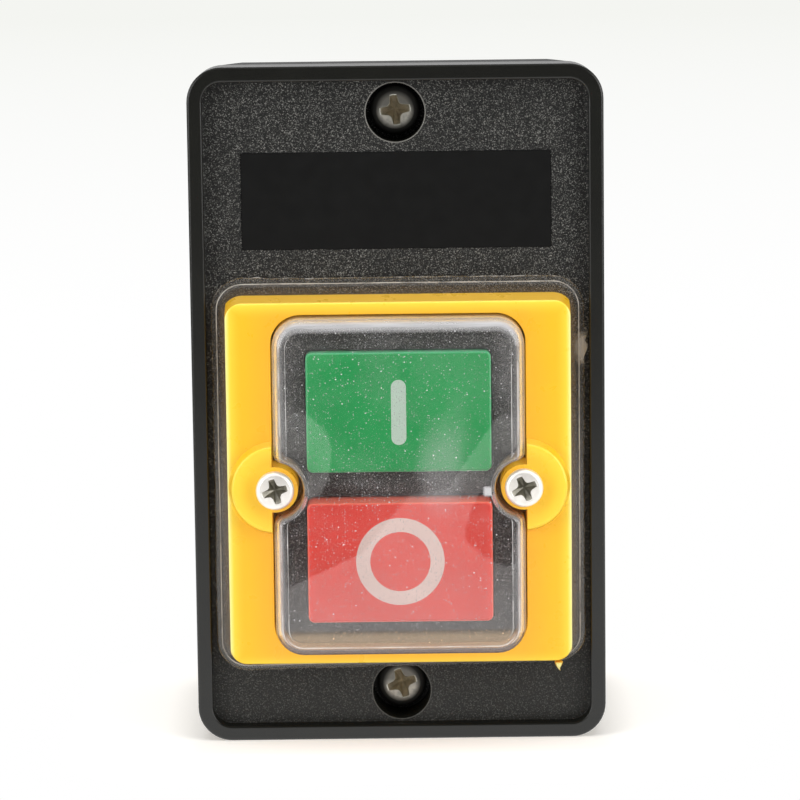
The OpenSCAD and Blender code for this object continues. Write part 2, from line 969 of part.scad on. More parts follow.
// Walls between the terminals of neighbouring poles
module barriers() {
    reach = body_h / 2 - barrier_h / 2;
    for (pole = [-1.5:1:1.5]) translate([pole * pole_pitch, 0, 0]) down_up(reach)
        block(barrier_t, barrier_h, barrier_back, floor_back + eps);
}

module base_screws() {
    color(steel) on_switch() left_right(screw_pitch / 2) translate([0, 0, floor_back])
        rotate([180, 0, 0]) pan_screw(base_screw_r, base_head_r, base_head_h, base_screw_length);
}

// Strip that runs from under a tip, through the floor, to its terminal pad
module terminal_strip(inner_end) {
    outer = riser_y + strip_t / 2;
    difference() {
        union() {
            translate([0, (inner_end + outer) / 2, 0])
                block(strip_w, outer - inner_end, strip_front - strip_t, strip_front);
            translate([0, riser_y, 0])
                block(strip_w, strip_t, floor_back - strip_t, strip_front);
            translate([0, (riser_y - strip_t / 2 + pad_end) / 2, 0])
                block(pad_w, pad_end - riser_y + strip_t / 2, floor_back - strip_t, floor_back);
        }
        translate([0, terminal_y, 0])
            rod(m35_r + seat_gap, floor_back - strip_t - eps, floor_back + eps);
    }
}

module line_terminals() {
    color(brass) on_switch() each_pole() terminal_strip(cap_y + tip_reach - tip_r);
}

module load_terminals() {
    color(brass) on_switch() each_pole() mirror([0, 1, 0])
        terminal_strip(-(cap_y - tip_reach + tip_r));
}

module fixed_tips() {
    color(silver) on_switch() translate([0, cap_y, 0]) each_pole() down_up(tip_reach)
        rod(tip_r, strip_front, strip_front + fixed_tip_t);
}

module terminal_places() {
    on_switch() each_pole() down_up(terminal_y) children();
}

module terminal_screws() {
    color(steel) terminal_places() translate([0, 0, floor_back - strip_t - clamp_t])
        rotate([180, 0, 0])
        pan_screw(m35_r, terminal_head_r, terminal_head_h, terminal_length);
}

// Square plate with two edges turned down to keep the wire in
module terminal_clamps() {
    front = floor_back - strip_t;
    color(brass) terminal_places() difference() {
        block(clamp_w, clamp_w - 1, front - clamp_t, front);
        rod(m35_hole_r, front - clamp_t - eps, front + eps);
        left_right(clamp_w / 2 - 0.4) block(0.4, 3, front - clamp_t - eps, front + eps);
    }
}

back_box();
cable_grommets();
front_cover();
label_plate();
cover_screws();
clear_boot();
bezel();
bezel_screws();
switch_housing();
threaded_bushes();
start_button();
start_mark();
stop_button();
stop_mark();
rocker();
rocker_pin();
snap_springs();
contact_carriage();
contact_bridges();
bridge_tips();
contact_springs();
contact_base();
base_screws();
line_terminals();
load_terminals();
fixed_tips();
terminal_screws();
terminal_clamps();
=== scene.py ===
import math

import bmesh
import bpy
from mathutils import Matrix, Vector, noise
from mathutils.geometry import delaunay_2d_cdt


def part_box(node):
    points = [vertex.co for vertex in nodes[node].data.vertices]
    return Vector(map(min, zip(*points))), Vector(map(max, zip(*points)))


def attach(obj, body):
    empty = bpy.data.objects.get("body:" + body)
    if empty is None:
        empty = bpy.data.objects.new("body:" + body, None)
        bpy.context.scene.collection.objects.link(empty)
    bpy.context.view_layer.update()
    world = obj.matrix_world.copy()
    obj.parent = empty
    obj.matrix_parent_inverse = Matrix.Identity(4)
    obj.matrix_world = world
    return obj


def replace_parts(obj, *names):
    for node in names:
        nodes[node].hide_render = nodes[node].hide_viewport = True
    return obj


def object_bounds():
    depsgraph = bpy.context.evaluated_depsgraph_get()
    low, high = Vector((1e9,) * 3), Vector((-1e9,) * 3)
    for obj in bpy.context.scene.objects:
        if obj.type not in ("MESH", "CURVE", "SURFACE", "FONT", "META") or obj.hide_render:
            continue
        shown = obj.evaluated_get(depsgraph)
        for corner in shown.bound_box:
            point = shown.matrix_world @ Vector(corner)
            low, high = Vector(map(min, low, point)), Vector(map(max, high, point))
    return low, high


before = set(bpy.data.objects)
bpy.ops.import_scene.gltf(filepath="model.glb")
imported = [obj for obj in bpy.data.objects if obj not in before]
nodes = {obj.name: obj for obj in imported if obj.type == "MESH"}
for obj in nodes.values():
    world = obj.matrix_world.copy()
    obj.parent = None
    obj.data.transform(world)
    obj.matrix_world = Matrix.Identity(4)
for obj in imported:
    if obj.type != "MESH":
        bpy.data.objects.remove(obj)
cad_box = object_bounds()

MM = 0.001


# Places, worked out from the frame. Outlines below are in millimetres as seen from the front:
# x to the right, up from a middle, and forward of the cover's rim.

cover_low, cover_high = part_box("front_cover")
ear_screws_low, ear_screws_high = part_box("bezel_screws")
well_screws_low, well_screws_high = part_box("cover_screws")
boot_low, boot_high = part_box("clear_boot")
bezel_low, bezel_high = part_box("bezel")
RIM_Y = cover_low.y
COVER_Z = (cover_low.z + cover_high.z) / 2
SWITCH_Z = (ear_screws_low.z + ear_screws_high.z) / 2
# Radii of the screws' heads, and how far the screws are from the switch's and the cover's middle
EAR_HEAD_R = 3.05
WELL_HEAD_R = 4.0
SCREW_X = (ear_screws_high.x - ear_screws_low.x) / 2 / MM - EAR_HEAD_R
WELL_REACH = (well_screws_high.z - well_screws_low.z) / 2 / MM - WELL_HEAD_R


def forward_of(y):
    """Height forward of the rim, in millimetres, of a place in the frame."""
    return (RIM_Y - y) / MM


def seen_from_front(x, up, forward, middle_z=SWITCH_Z):
    return Vector((x * MM, RIM_Y - forward * MM, middle_z + up * MM))


def add_object(name, data):
    made = bpy.data.objects.new(name, data)
    bpy.context.scene.collection.objects.link(made)
    return made


# Camera

PHOTO = 800
FOCAL_PX = 3825
DISTANCE = 0.612
ELEVATION = math.radians(8.8)
ROLL = math.radians(0.68)
# Where the middle of the cover's rim falls in the photograph
MIDDLE_PX = (398.5, 406.7)
SENSOR = 36
CLIP_START = 0.01


def make_camera():
    target = Vector((0, RIM_Y, COVER_Z))
    back = Vector((0, -math.cos(ELEVATION), math.sin(ELEVATION)))
    right = Vector((1, 0, 0))
    up = back.cross(right)
    data = bpy.data.cameras.new("camera")
    data.sensor_width = SENSOR
    data.lens = FOCAL_PX * SENSOR / PHOTO
    data.clip_start = CLIP_START
    camera = add_object("camera", data)
    per_px = DISTANCE / FOCAL_PX
    aside = right * (PHOTO / 2 - MIDDLE_PX[0]) * per_px
    aloft = up * (MIDDLE_PX[1] - PHOTO / 2) * per_px
    aim = target + aside + aloft
    position = target + back * DISTANCE
    turn = (position - aim).to_track_quat("Z", "Y").to_matrix().to_4x4()
    camera.matrix_world = Matrix.Translation(position) @ turn @ Matrix.Rotation(-ROLL, 4, "Z")
    bpy.context.scene.camera = camera


# Node graphs

# Where most values of a noise lie
NOISE_RANGE = (0.3, 0.7)
# Brightness of the faintest speck of dust, and the share of a speck's radius that is bright all over
FAINTEST_DUST = 0.35
DUST_CORE = 0.6


class Graph:
    """Short calls that build a node graph. Each input is a socket or a plain value.

    The place is the one on the object, in metres. Only the graph of a piece's material has it.
    """

    def __init__(self, tree):
        self.tree = tree
        self.place = None

    def new(self, kind, inputs=(), **settings):
        made = self.tree.nodes.new("ShaderNode" + kind)
        for key, value in settings.items():
            setattr(made, key, value)
        self.feed(made, inputs)
        return made

    def feed(self, node, inputs):
        for key, value in dict(inputs).items():
            self.put(node.inputs[key], value)

    def put(self, socket, value):
        if isinstance(value, bpy.types.NodeSocket):
            self.tree.links.new(value, socket)
        elif socket.type == "RGBA":
            socket.default_value = (*value, 1)
        else:
            socket.default_value = value

    def math(self, operation, a, b=0.0):
        return self.new("Math", {0: a, 1: b}, operation=operation).outputs[0]

    def plus(self, a, b):
        return self.math("ADD", a, b)

    def minus(self, a, b):
        return self.math("SUBTRACT", a, b)

    def absolute(self, value):
        return self.math("ABSOLUTE", value)

    def above(self, a, b):
        return self.math("GREATER_THAN", a, b)

    def below(self, a, b):
        return self.math("LESS_THAN", a, b)

    def both(self, a, b):
        return self.math("MULTIPLY", a, b)

    def most(self, first, *others):
        for other in others:
            first = self.math("MAXIMUM", first, other)
        return first

    def length(self, a, b):
        return self.math("SQRT", self.plus(self.both(a, a), self.both(b, b)))

    def scale(self, value, old, new=(0, 1)):
        """Carries a value from one range to another and holds it at the ends."""
        ranges = {"From Min": old[0], "From Max": old[1], "To Min": new[0], "To Max": new[1]}
        return self.new("MapRange", {"Value": value, **ranges}).outputs["Result"]

    def mix(self, share, a, b):
        return self.new("Mix", {0: share, 6: a, 7: b}, data_type="RGBA").outputs[2]

    def mix_shader(self, share, a, b):
        return self.new("MixShader", {0: share, 1: a, 2: b}).outputs[0]

    def glow(self, colour, strength=1.0, kind="Emission"):
        return self.new(kind, {"Color": colour, "Strength": strength}).outputs[0]

    def ramp(self, value, stops):
        """Colour ramp from (position, grey) stops."""
        made = self.new("ValToRGB", {"Fac": value})
        elements = made.color_ramp.elements
        while len(elements) < len(stops):
            elements.new(1)
        for element, (position, grey) in zip(elements, stops):
            element.position = position
            element.color = (grey, grey, grey, 1)
        return made.outputs["Color"]

    def noise(self, size_mm, detail):
        inputs = {"Vector": self.place, "Scale": 1 / (size_mm * MM), "Detail": detail}
        return self.new("TexNoise", inputs).outputs[0]

    def cloudy(self, size_mm, detail, new=(0, 1), old=NOISE_RANGE):
        """Noise carried from a range to another."""
        return self.scale(self.noise(size_mm, detail), old, new)

    def cells(self, size_mm):
        """Distance from the nearest of many scattered points, and a chance from 0 to 1 for each of them."""
        made = self.new("TexVoronoi", {"Vector": self.place, "Scale": 1 / (size_mm * MM)})
        chance = self.new("SeparateColor", {0: made.outputs["Color"]}).outputs[0]
        return made.outputs["Distance"], chance

    def specks(self, size_mm, rarity):
        """Value that is low in most small cells and high in a few."""
        return self.math("POWER", self.cells(size_mm)[1], rarity)

    def dust(self, size_mm, share, radius):
        """Round specks of uneven brightness in a share of the cells, up to 1 on a speck and 0 beside it."""
        distance, chance = self.cells(size_mm)
        here = self.scale(chance, (0, share), (1, FAINTEST_DUST))
        here = self.both(here, self.below(chance, share))
        return self.both(here, self.scale(distance, (radius * DUST_CORE, radius), (1, 0)))

    def axes(self, vector):
        return self.new("SeparateXYZ", {0: vector}).outputs

    def normal(self):
        """The X, Y and Z of the surface's own normal."""
        return self.axes(self.new("TexCoord").outputs["Normal"])

    def from_middle(self, middle_z=SWITCH_Z):
        """x and up from a middle, in millimetres."""
        where = self.axes(self.place)
        return self.both(where["X"], 1 / MM), self.both(self.minus(where["Z"], middle_z), 1 / MM)

    def from_well(self):
        """x and up from the middle of the nearer screw well, in millimetres."""
        x, up = self.from_middle(COVER_Z)
        return x, self.minus(up, self.both(self.math("SIGN", up), WELL_REACH))

    def pulse(self, value, middle, half_width):
        """1 where a value is at the middle, falling to 0 on both sides."""
        off = self.absolute(self.minus(value, middle))
        return self.scale(off, (0, half_width), (1, 0))

    def patch(self, x, up, middle, radii, soft):
        """1 inside an ellipse and 0 outside, with a soft rim as a share of the radii."""
        across = self.math("DIVIDE", self.minus(x, middle[0]), radii[0])
        along = self.math("DIVIDE", self.minus(up, middle[1]), radii[1])
        return self.scale(self.length(across, along), (1 - soft, 1 + soft), (1, 0))

    def under(self, x, up, level, slope, soft):
        """1 under a straight line that has this level at x = 0, and 0 over it."""
        over = self.minus(self.minus(up, level), self.both(x, slope))
        return self.scale(over, (-soft, soft), (1, 0))

    def bump(self, height, depth_mm, **normal):
        inputs = {"Height": height, "Distance": depth_mm * MM, "Strength": 1.0, **normal}
        return self.new("Bump", inputs).outputs[0]

    def soft_edges(self):
        """The normal of a surface whose edges are slightly rounded."""
        return self.new("Bevel", {"Radius": EDGE_SOFTNESS * MM}, samples=EDGE_SAMPLES).outputs[0]


def new_material(name):
    """A material, its graph and its Principled shader."""
    mat = bpy.data.materials.new(name)
    mat.use_nodes = True
    graph = Graph(mat.node_tree)
    graph.place = graph.new("TexCoord").outputs["Object"]
    return mat, graph, mat.node_tree.nodes["Principled BSDF"]


def empty_graph(owner):
    owner.use_nodes = True
    owner.node_tree.nodes.clear()
    return Graph(owner.node_tree)


# Light, floor and background

BACKDROP = (0.905, 0.913, 0.88)
WHITE = (1, 1, 1)
AMBIENT = (0.92, 0.95, 1)
AMBIENT_STRENGTH = 0.36
# Y of the directions between which what shines turns from the dark room to the sweep, and their brightness
ROOM_TO_SWEEP = (-0.9, -0.45)
ROOM_AND_SWEEP = (0.05, 0.9)
# Lamps as (name, place, (width, height), watts)
LAMPS = [
    ("left_softbox", (-0.58, -0.42, 0.26), (0.4, 0.6), 2.9),
    ("right_softbox", (0.58, -0.42, 0.26), (0.4, 0.6), 3.1),
    ("top_softbox", (0, -0.1, 0.8), (0.7, 0.5), 2.6),
]
LAMPS_AIM = (0, 0, 0.05)
FLOOR_HALF = 3.0
FLOOR_COLOUR = (0.86, 0.85, 0.83)
# The warm glow of the floor beside the box: its colour, its reach and its strength over that reach
FOOT_GLOW = (1, 0.93, 0.82)
FOOT_REACH = (0.0, 0.006)
FOOT_STRENGTH = (0.31, 0.53)
# Distances from the box over which the floor turns from shadowed to white, and from white to the backdrop
SHADOW_TO_WHITE = (0.001, 0.022)
WHITE_TO_BACKDROP = (0.5, 2.2)
# How bright the sweep looks in what shines, by the share of a reach away from the box
MIRRORED_PEAK = 1.25
MIRRORED_REACH = 2.0
MIRRORED = [(0, 1), (0.11, 1), (0.15, 0.5), (0.19, 0.2), (0.3, 0.1), (0.5, 0.06), (1, 0.03)]


def seen_and_mirrored(g):
    """Whether a ray sees a surface straight or through the boot, and whether it does so in what shines."""
    rays = g.new("LightPath").outputs
    bounced = g.above(rays["Glossy Depth"], 0.5)
    mirrored = g.both(bounced, g.minus(1.0, rays["Is Diffuse Ray"]))
    straight = g.most(rays["Is Camera Ray"], rays["Is Transmission Ray"])
    return g.both(straight, g.minus(1.0, mirrored)), mirrored


def make_world():
    world = bpy.data.worlds.new("studio")
    bpy.context.scene.world = world
    g = empty_graph(world)
    is_seen, is_mirrored = seen_and_mirrored(g)
    direction = g.axes(g.new("TexCoord").outputs["Generated"])
    ambient = g.glow(AMBIENT, AMBIENT_STRENGTH, "Background")
    seen = g.glow(BACKDROP, 1.0, "Background")
    mirrored = g.glow(WHITE, g.scale(direction["Y"], ROOM_TO_SWEEP, ROOM_AND_SWEEP), "Background")
    lit = g.mix_shader(is_mirrored, ambient, mirrored)
    g.new("OutputWorld", {"Surface": g.mix_shader(is_seen, lit, seen)})


def make_lights():
    for name, place, size, power in LAMPS:
        data = bpy.data.lights.new(name, "AREA")
        data.shape = "RECTANGLE"
        data.size, data.size_y = size
        data.energy = power
        lamp = add_object(name, data)
        lamp.location = place
        away = Vector(place) - Vector(LAMPS_AIM)
        lamp.rotation_euler = away.to_track_quat("Z", "Y").to_euler()


def away_from_box(g):
    """How far a place on the floor is from the box."""
    place = g.axes(g.new("NewGeometry").outputs["Position"])
    out = []
    for axis, low, high in zip("XY", *cad_box):
        from_middle = g.absolute(g.minus(place[axis], (low + high) / 2))
        out.append(g.most(g.minus(from_middle, (high - low) / 2), 0.0))
    return g.length(*out)


def floor_material():
    mat = bpy.data.materials.new("white_sweep")
    g = empty_graph(mat)
    is_seen, is_mirrored = seen_and_mirrored(g)
    away = away_from_box(g)
    diffuse = g.new("BsdfDiffuse", {"Color": FLOOR_COLOUR}).outputs[0]
    # The sweep is brighter than the object, so the camera sees it white but for the shadow at the foot
    foot = g.glow(FOOT_GLOW, g.scale(away, FOOT_REACH, FOOT_STRENGTH))
    near = g.new("AddShader", {0: diffuse, 1: foot}).outputs[0]
    far_colour = g.mix(g.scale(away, WHITE_TO_BACKDROP), WHITE, BACKDROP)
    seen = g.mix_shader(g.scale(away, SHADOW_TO_WHITE), near, g.glow(far_colour))
    strength = g.both(MIRRORED_PEAK, g.ramp(g.both(away, 1 / MIRRORED_REACH), MIRRORED))
    lit = g.mix_shader(is_mirrored, diffuse, g.glow(WHITE, strength))
    g.new("OutputMaterial", {"Surface": g.mix_shader(is_seen, lit, seen)})
    return mat


def make_floor():
    mesh = bpy.data.meshes.new("floor")
    s = FLOOR_HALF
    mesh.from_pydata([(-s, -s, 0), (s, -s, 0), (s, s, 0), (-s, s, 0)], [], [(0, 1, 2, 3)])
    mesh.materials.append(floor_material())
    floor = add_object("floor", mesh)


# Materials. Grains, clouds, specks, depths and places on the boot are in millimetres, and the reach of a
# zone on another piece is in metres.

TONE = 0.05
EDGE_SOFTNESS = 0.2
EDGE_SAMPLES = 4
# Fine grain of the smooth mouldings: its size and its depth
FINE_GRAIN = 0.35
FINE_DEPTH = 0.004


def shade(colour, factor):
    return tuple(min(1, c * factor) for c in colour)


def moulded(name, colour, roughness, grain=FINE_GRAIN, depth=FINE_DEPTH, specular=0.5):
    """Moulded plastic with a slow change of tone and gloss and a fine grain."""
    mat, g, shader = new_material(name)
    slow = g.cloudy(9, 3)
    g.feed(shader, {
        "Base Color": g.mix(slow, shade(colour, 1 - TONE), shade(colour, 1 + TONE)),
        "Roughness": g.cloudy(2.5, 3, (roughness - 0.04, roughness + 0.05)),
        "Specular IOR Level": specular,
        "Normal": g.bump(g.noise(grain, 3), depth),
    })
    return mat


# The panel lies further behind the rim than this, in millimetres, and its normal's Y is under this
PANEL_SUNK = 1.8
PANEL_FACING = -0.95
PANEL_SPECK = 0.13
SPECK_RARITY = 7
# Depth of the panel's grain and of the rim's
PANEL_DEPTH = 0.05
RIM_DEPTH = 0.006
# Heights in the frame between which the panel's specks grow brighter, as painted glints, and its ground
# darker, so that the ground is lighter low down as a painted reflection of the floor
GLINT_AND_REFLECTION_HEIGHTS = (0.005, 0.075)
RIM_TONES = ((0.0074, 0.0074, 0.0060), (0.0096, 0.0096, 0.0074))
# The panel's ground low and high up, lighter low down as a painted floor reflection, and its specks, partly
# real grain and partly painted glints
PANEL_GROUND_AND_PAINTED_REFLECTION = ((0.013, 0.0125, 0.0095), (0.0046, 0.0046, 0.004))
PANEL_SPECKS_AND_GLINTS = (0.265, 0.26, 0.24)
# The painted highlight round a well's mouth: radius and half width in millimetres, colour, and its strength
# between two heights
WELL_R = 4.78
WELL_HIGHLIGHT_HALF_WIDTH = 0.12
WELL_HIGHLIGHT_COLOUR = (0.30, 0.29, 0.26)
WELL_HIGHLIGHT_HEIGHTS = (0.02, 0.09)
WELL_HIGHLIGHT_STRENGTH = (0.25, 0.8)


def cover_plastic():
    """Black moulding whose sunk panel has a spark-eroded grain with painted glints, while its rim is
    smoother.
    """
    mat, g, shader = new_material("black_cover")
    where = g.axes(g.place)
    normal = g.normal()
    sunk = g.above(where["Y"], RIM_Y + PANEL_SUNK * MM)
    panel = g.both(sunk, g.below(normal["Y"], PANEL_FACING))
    speck = g.specks(PANEL_SPECK, SPECK_RARITY)
    slow = g.cloudy(6, 3)
    # Painted glints that grow towards the top, and a painted floor reflection that lightens the ground
    # lower down
    glint_and_reflection_by_height = g.scale(where["Z"], GLINT_AND_REFLECTION_HEIGHTS, (0.4, 1))
    uneven = g.both(g.both(speck, glint_and_reflection_by_height), g.scale(slow, (0, 1), (0.7, 1.1)))
    grained = g.mix(uneven, g.mix(glint_and_reflection_by_height, *PANEL_GROUND_AND_PAINTED_REFLECTION), PANEL_SPECKS_AND_GLINTS)
    body = g.mix(panel, g.mix(slow, *RIM_TONES), grained)
    # Painted highlight round each well's mouth, stronger higher up
    line = g.pulse(g.length(*g.from_well()), WELL_R, WELL_HIGHLIGHT_HALF_WIDTH)
    line = g.both(line, g.scale(where["Z"], WELL_HIGHLIGHT_HEIGHTS, WELL_HIGHLIGHT_STRENGTH))
    grain = g.both(g.both(panel, speck), PANEL_DEPTH)
    relief = g.plus(grain, g.both(g.noise(0.5, 3), RIM_DEPTH))
    # The rim's top edge shines less than its front
    shine = g.scale(normal["Z"], (0.1, 0.5), (0.5, 0.08))
    g.feed(shader, {
        "Base Color": g.mix(g.both(panel, line), body, WELL_HIGHLIGHT_COLOUR),
        "Roughness": g.scale(panel, (0, 1), (0.26, 0.5)),
        "Normal": g.bump(relief, 1.0, Normal=g.soft_edges()),
        "Specular IOR Level": g.minus(shine, g.both(panel, 0.14)),
    })
    return mat


HOUSING_SPECK = 0.15
HOUSING_DEPTH = 0.03
# The ground and the bright specks, which are partly real grain and partly painted glints
HOUSING_TONES_AND_GLINTS = ((0.010, 0.010, 0.0097), (0.16, 0.16, 0.15))


def housing_plastic():
    """Black moulding of the switch, with a fine grain whose bright specks are partly painted glints."""
    mat, g, shader = new_material("black_housing")
    speck = g.specks(HOUSING_SPECK, SPECK_RARITY)
    g.feed(shader, {
        "Base Color": g.mix(speck, *HOUSING_TONES_AND_GLINTS),
        "Roughness": g.scale(speck, (0, 1), (0.4, 0.55)),
        "Normal": g.bump(speck, HOUSING_DEPTH),
    })
    return mat


# How far the bezel's front is set in from its back at the top
BEZEL_SLOPE = 0.7
# Between the heights of the bezel's front and of its ears over the rim
EAR_BASE = 3.45
# Distances from the middle over which the bezel's inner tone turns into its outer one
INNER_TO_OUTER = (0.0195, 0.0245)
# Widths of the painted glow and of the painted highlight along the bezel's edges, and the highlight's reach
# at the top
PAINTED_GLOW_WIDTH = 0.0026
HIGHLIGHT_WIDTH = 0.0008
TOP_HIGHLIGHT_REACH = (-0.0004, 0.0004)
# Distances from a screw over which its ear grows paler, a painted glow
EAR_PAINTED_GLOW = (0.0045, 0.0073)
YELLOW_INNER = (0.98, 0.48, 0.024)
YELLOW_OUTER = (0.98, 0.54, 0.012)
YELLOW_CLOUD = (0.92, 0.45, 0.015)
# Colours of the painted glow near the edges, of the painted highlight along them and of the painted light
# from above on the top slope
YELLOW_PAINTED_GLOW = (1.0, 0.80, 0.065)
YELLOW_PAINTED_HIGHLIGHT = (1.0, 0.94, 0.36)
YELLOW_PAINTED_TOP_LIGHT = (1.0, 0.585, 0.06)


def yellow_plastic():
    """Slightly translucent yellow moulding, with a painted glow near its outer edges, painted highlights
    along them and painted light on its top slope.
    """
    mat, g, shader = new_material("yellow_bezel")
    where = g.axes(g.place)
    side = g.absolute(where["X"])
    from_side = g.minus(bezel_high.x, side)
    from_top = g.minus(bezel_high.z - BEZEL_SLOPE * MM, where["Z"])
    from_bottom = g.minus(where["Z"], bezel_low.z)
    near_low = g.math("MINIMUM", from_side, from_bottom)
    near = g.math("MINIMUM", near_low, from_top)
    body = g.mix(g.scale(side, INNER_TO_OUTER), YELLOW_INNER, YELLOW_OUTER)
    toned = g.mix(g.cloudy(7, 2, (0, 0.1)), body, YELLOW_CLOUD)
    wide = g.math("POWER", g.scale(near, (0, PAINTED_GLOW_WIDTH), (1, 0)), 1.7)
    narrow = g.math("POWER", g.scale(near_low, (0, HIGHLIGHT_WIDTH), (1, 0)), 1.5)
    narrow = g.most(narrow, g.scale(from_top, TOP_HIGHLIGHT_REACH, (0.5, 0)))
    # The raised ears get the painted glow too, most of all at their rims
    out_x = g.minus(side, SCREW_X * MM)
    out_z = g.minus(where["Z"], SWITCH_Z)
    on_ear = g.below(where["Y"], RIM_Y - EAR_BASE * MM)
    ear = g.both(on_ear, g.scale(g.length(out_x, out_z), EAR_PAINTED_GLOW, (0.15, 0.75)))
    normal = g.normal()
    ahead = g.scale(g.absolute(normal["Y"]), (0.2, 0.6))
    pale = g.mix(g.both(ahead, g.most(wide, ear)), toned, YELLOW_PAINTED_GLOW)
    front = g.mix(g.both(ahead, narrow), pale, YELLOW_PAINTED_HIGHLIGHT)
    # Painted light from above on the upward top slope
    rising = g.scale(normal["Z"], (0.75, 0.95))
    g.feed(shader, {
        "Base Color": g.mix(rising, front, YELLOW_PAINTED_TOP_LIGHT),
        "Roughness": g.cloudy(3, 3, (0.26, 0.34)),
        "Normal": g.bump(g.noise(0.6, 2), FINE_DEPTH, Normal=g.soft_edges()),
    })
    return mat


# Width of the vivid zone at a cap's sides, and the tones of a cap's middle, of that zone and of its edges,
# paler there as a painted highlight
VIVID_WIDTH = 0.0024
GREENS = ((0.003, 0.31, 0.074), (0.006, 0.37, 0.10), (0.12, 0.66, 0.32))
REDS = ((0.67, 0.034, 0.019), (0.95, 0.05, 0.04), (0.98, 0.18, 0.12))


def cap_plastic(name, node, colour, side_colour, edge_highlight_colour):
    """Glossy button moulding, more vivid near its sides, with its edges painted paler as a painted
    highlight.
    """
    mat, g, shader = new_material(name)
    low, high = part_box(node)
    side = g.absolute(g.minus(g.axes(g.place)["X"], (low.x + high.x) / 2))
    from_side = g.minus((high.x - low.x) / 2, side)
    near = g.math("POWER", g.scale(from_side, (0, VIVID_WIDTH), (1, 0)), 1.6)
    facing = g.absolute(g.normal()["Y"])
    slow = g.cloudy(9, 3)
    body = g.mix(near, g.mix(slow, shade(colour, 0.94), shade(colour, 1.06)), side_colour)
    g.feed(shader, {
        "Base Color": g.mix(g.scale(facing, (0.5, 0.97), (1, 0)), body, edge_highlight_colour),
        "Roughness": g.cloudy(2.5, 3, (0.28, 0.36)),
        "Normal": g.bump(g.noise(FINE_GRAIN, 3), FINE_DEPTH),
    })
    return mat


# The part of a noise's range that shows as scattered spots
SPOTS = (0.45, 0.75)
SCRATCH = 0.12
SCRATCH_DEPTH = 0.002


def metal(name, colour, roughness, tarnish=0.12, metallic=1.0):
    """Plated or bare metal with faint tarnish and fine scratches. Dull plating is less metallic."""
    mat, g, shader = new_material(name)
    spots = g.cloudy(1.2, 4, old=SPOTS)
    g.feed(shader, {
        "Metallic": metallic,
        "Base Color": g.mix(spots, colour, shade(colour, 1 - tarnish)),
        "Roughness": g.scale(spots, (0, 1), (roughness, roughness + 0.12)),
        "Normal": g.bump(g.noise(SCRATCH, 2), SCRATCH_DEPTH),
    })
    return mat


# Distances from a head's middle over which it turns darker round its rim, heights over which its upper half
# turns darker as painted shade, both in millimetres, and the share of the brightness that each of them
# leaves
RIM_DARKENING = (2.2, 3.1)
UPPER_HALF = (-0.8, 0.8)
RIM_DARKENING_LEFT = 0.03
SHADED = 0.12


def well_metal(name, colour):
    """Dull plating of a head down in a well: darker and rougher round its rim, with painted shade on its
    upper half.
    """
    mat, g, shader = new_material(name)
    x, up = g.from_well()
    darker_rim = g.scale(g.length(x, up), RIM_DARKENING)
    # Painted shade on the head's upper half, and scattered darker spots
    dark = g.most(g.scale(up, UPPER_HALF, (0, 0.72)), g.cloudy(0.8, 4, (0, 0.4), SPOTS))
    plain = g.mix(dark, colour, shade(colour, SHADED))
    g.feed(shader, {
        "Base Color": g.mix(darker_rim, plain, shade(colour, RIM_DARKENING_LEFT)),
        "Metallic": 0.15,
        "Roughness": g.scale(darker_rim, (0, 1), (0.36, 0.6)),
    })
    return mat


CLEAR_IOR = 1.47
# The soft face is warped, so that it mirrors the bright sweep in some places and the dark room in others.
# Straight limits under which it is bright, as (level at x = 0, slope, softness) in millimetres.
BRIGHT_UNDER = (-7.2, 0.47, 0.35)
MIDDLE_UNDER = (-2.4, 1.2, 1.0)
CORNER_UNDER = (-10.2, 1.4, 0.6)
# Heights over which the middle and the corner patch end
MIDDLE_TOP = (-1, 0.5)
CORNER_TOP = (11, 13.5)
# Patches as (x, up), (width, height) and softness
LEFT_PATCH = ((-16.0, 5.4), (5.2, 7.4), 0.07)
LEFT_HAZE = ((-18.4, 9.5), (3.4, 6.5), 0.45)
LEFT_HAZE_SHARE = 0.7
RIGHT_POCKET = ((16.4, -5.6), (5.6, 6.7), 0.07)
FACE_TILT = 0.085
# How far the limits waver
WAVER = 0.7
# Heights over the switch's middle at which the level face mirrors the bright and the dark part
LEVEL_HEIGHTS = (-8, 30)


def face_tilt(g):
    """How far the face leans down to mirror the bright part of the sweep, or up to miss it."""
    waver = g.cloudy(9, 3, (-WAVER, WAVER))
    x, up = (g.plus(value, waver) for value in g.from_middle())
    middle = g.both(g.under(x, up, *MIDDLE_UNDER), g.scale(up, MIDDLE_TOP, (1, 0)))
    corner = g.both(g.under(x, up, *CORNER_UNDER), g.scale(up, CORNER_TOP, (1, 0)))
    haze = g.both(g.patch(x, up, *LEFT_HAZE), LEFT_HAZE_SHARE)
    bright = g.most(g.under(x, up, *BRIGHT_UNDER), middle, corner, g.patch(x, up, *LEFT_PATCH), haze)
    bright = g.both(bright, g.minus(1.0, g.patch(x, up, *RIGHT_POCKET)))
    wanted = g.most(bright, g.cloudy(5, 3, (0, 0.3), SPOTS))
    return g.both(g.minus(wanted, g.scale(up, LEVEL_HEIGHTS, (1, 0))), FACE_TILT)


# Bands and lines of the dome's rounded edge, in millimetres in from its outline. The lines are painted
# highlights, the wall's band is a painted reflection of the yellow bezel, and the low band is painted
# shade.
# A line is given by its middle and half its width.
BAND_FADE = (1.2, 2.3)
BAND_HIGHLIGHTS = ((1.2, 0.13), (2.15, 0.1))
WALL_BEZEL_REFLECTION = (0.3, 0.85)
LOW_HIGHLIGHT = (1.5, 0.16)
LOW_SHADE_BAND = (1.15, 1.4)
# Haze on the edge, the painted light from above that its upper part adds, and the share that is left beside
# the notches
EDGE_HAZE = 0.16
TOP_PAINTED_LIGHT = 0.22
NOTCH_HAZE = 0.35
NOTCH_REACH = 6.9
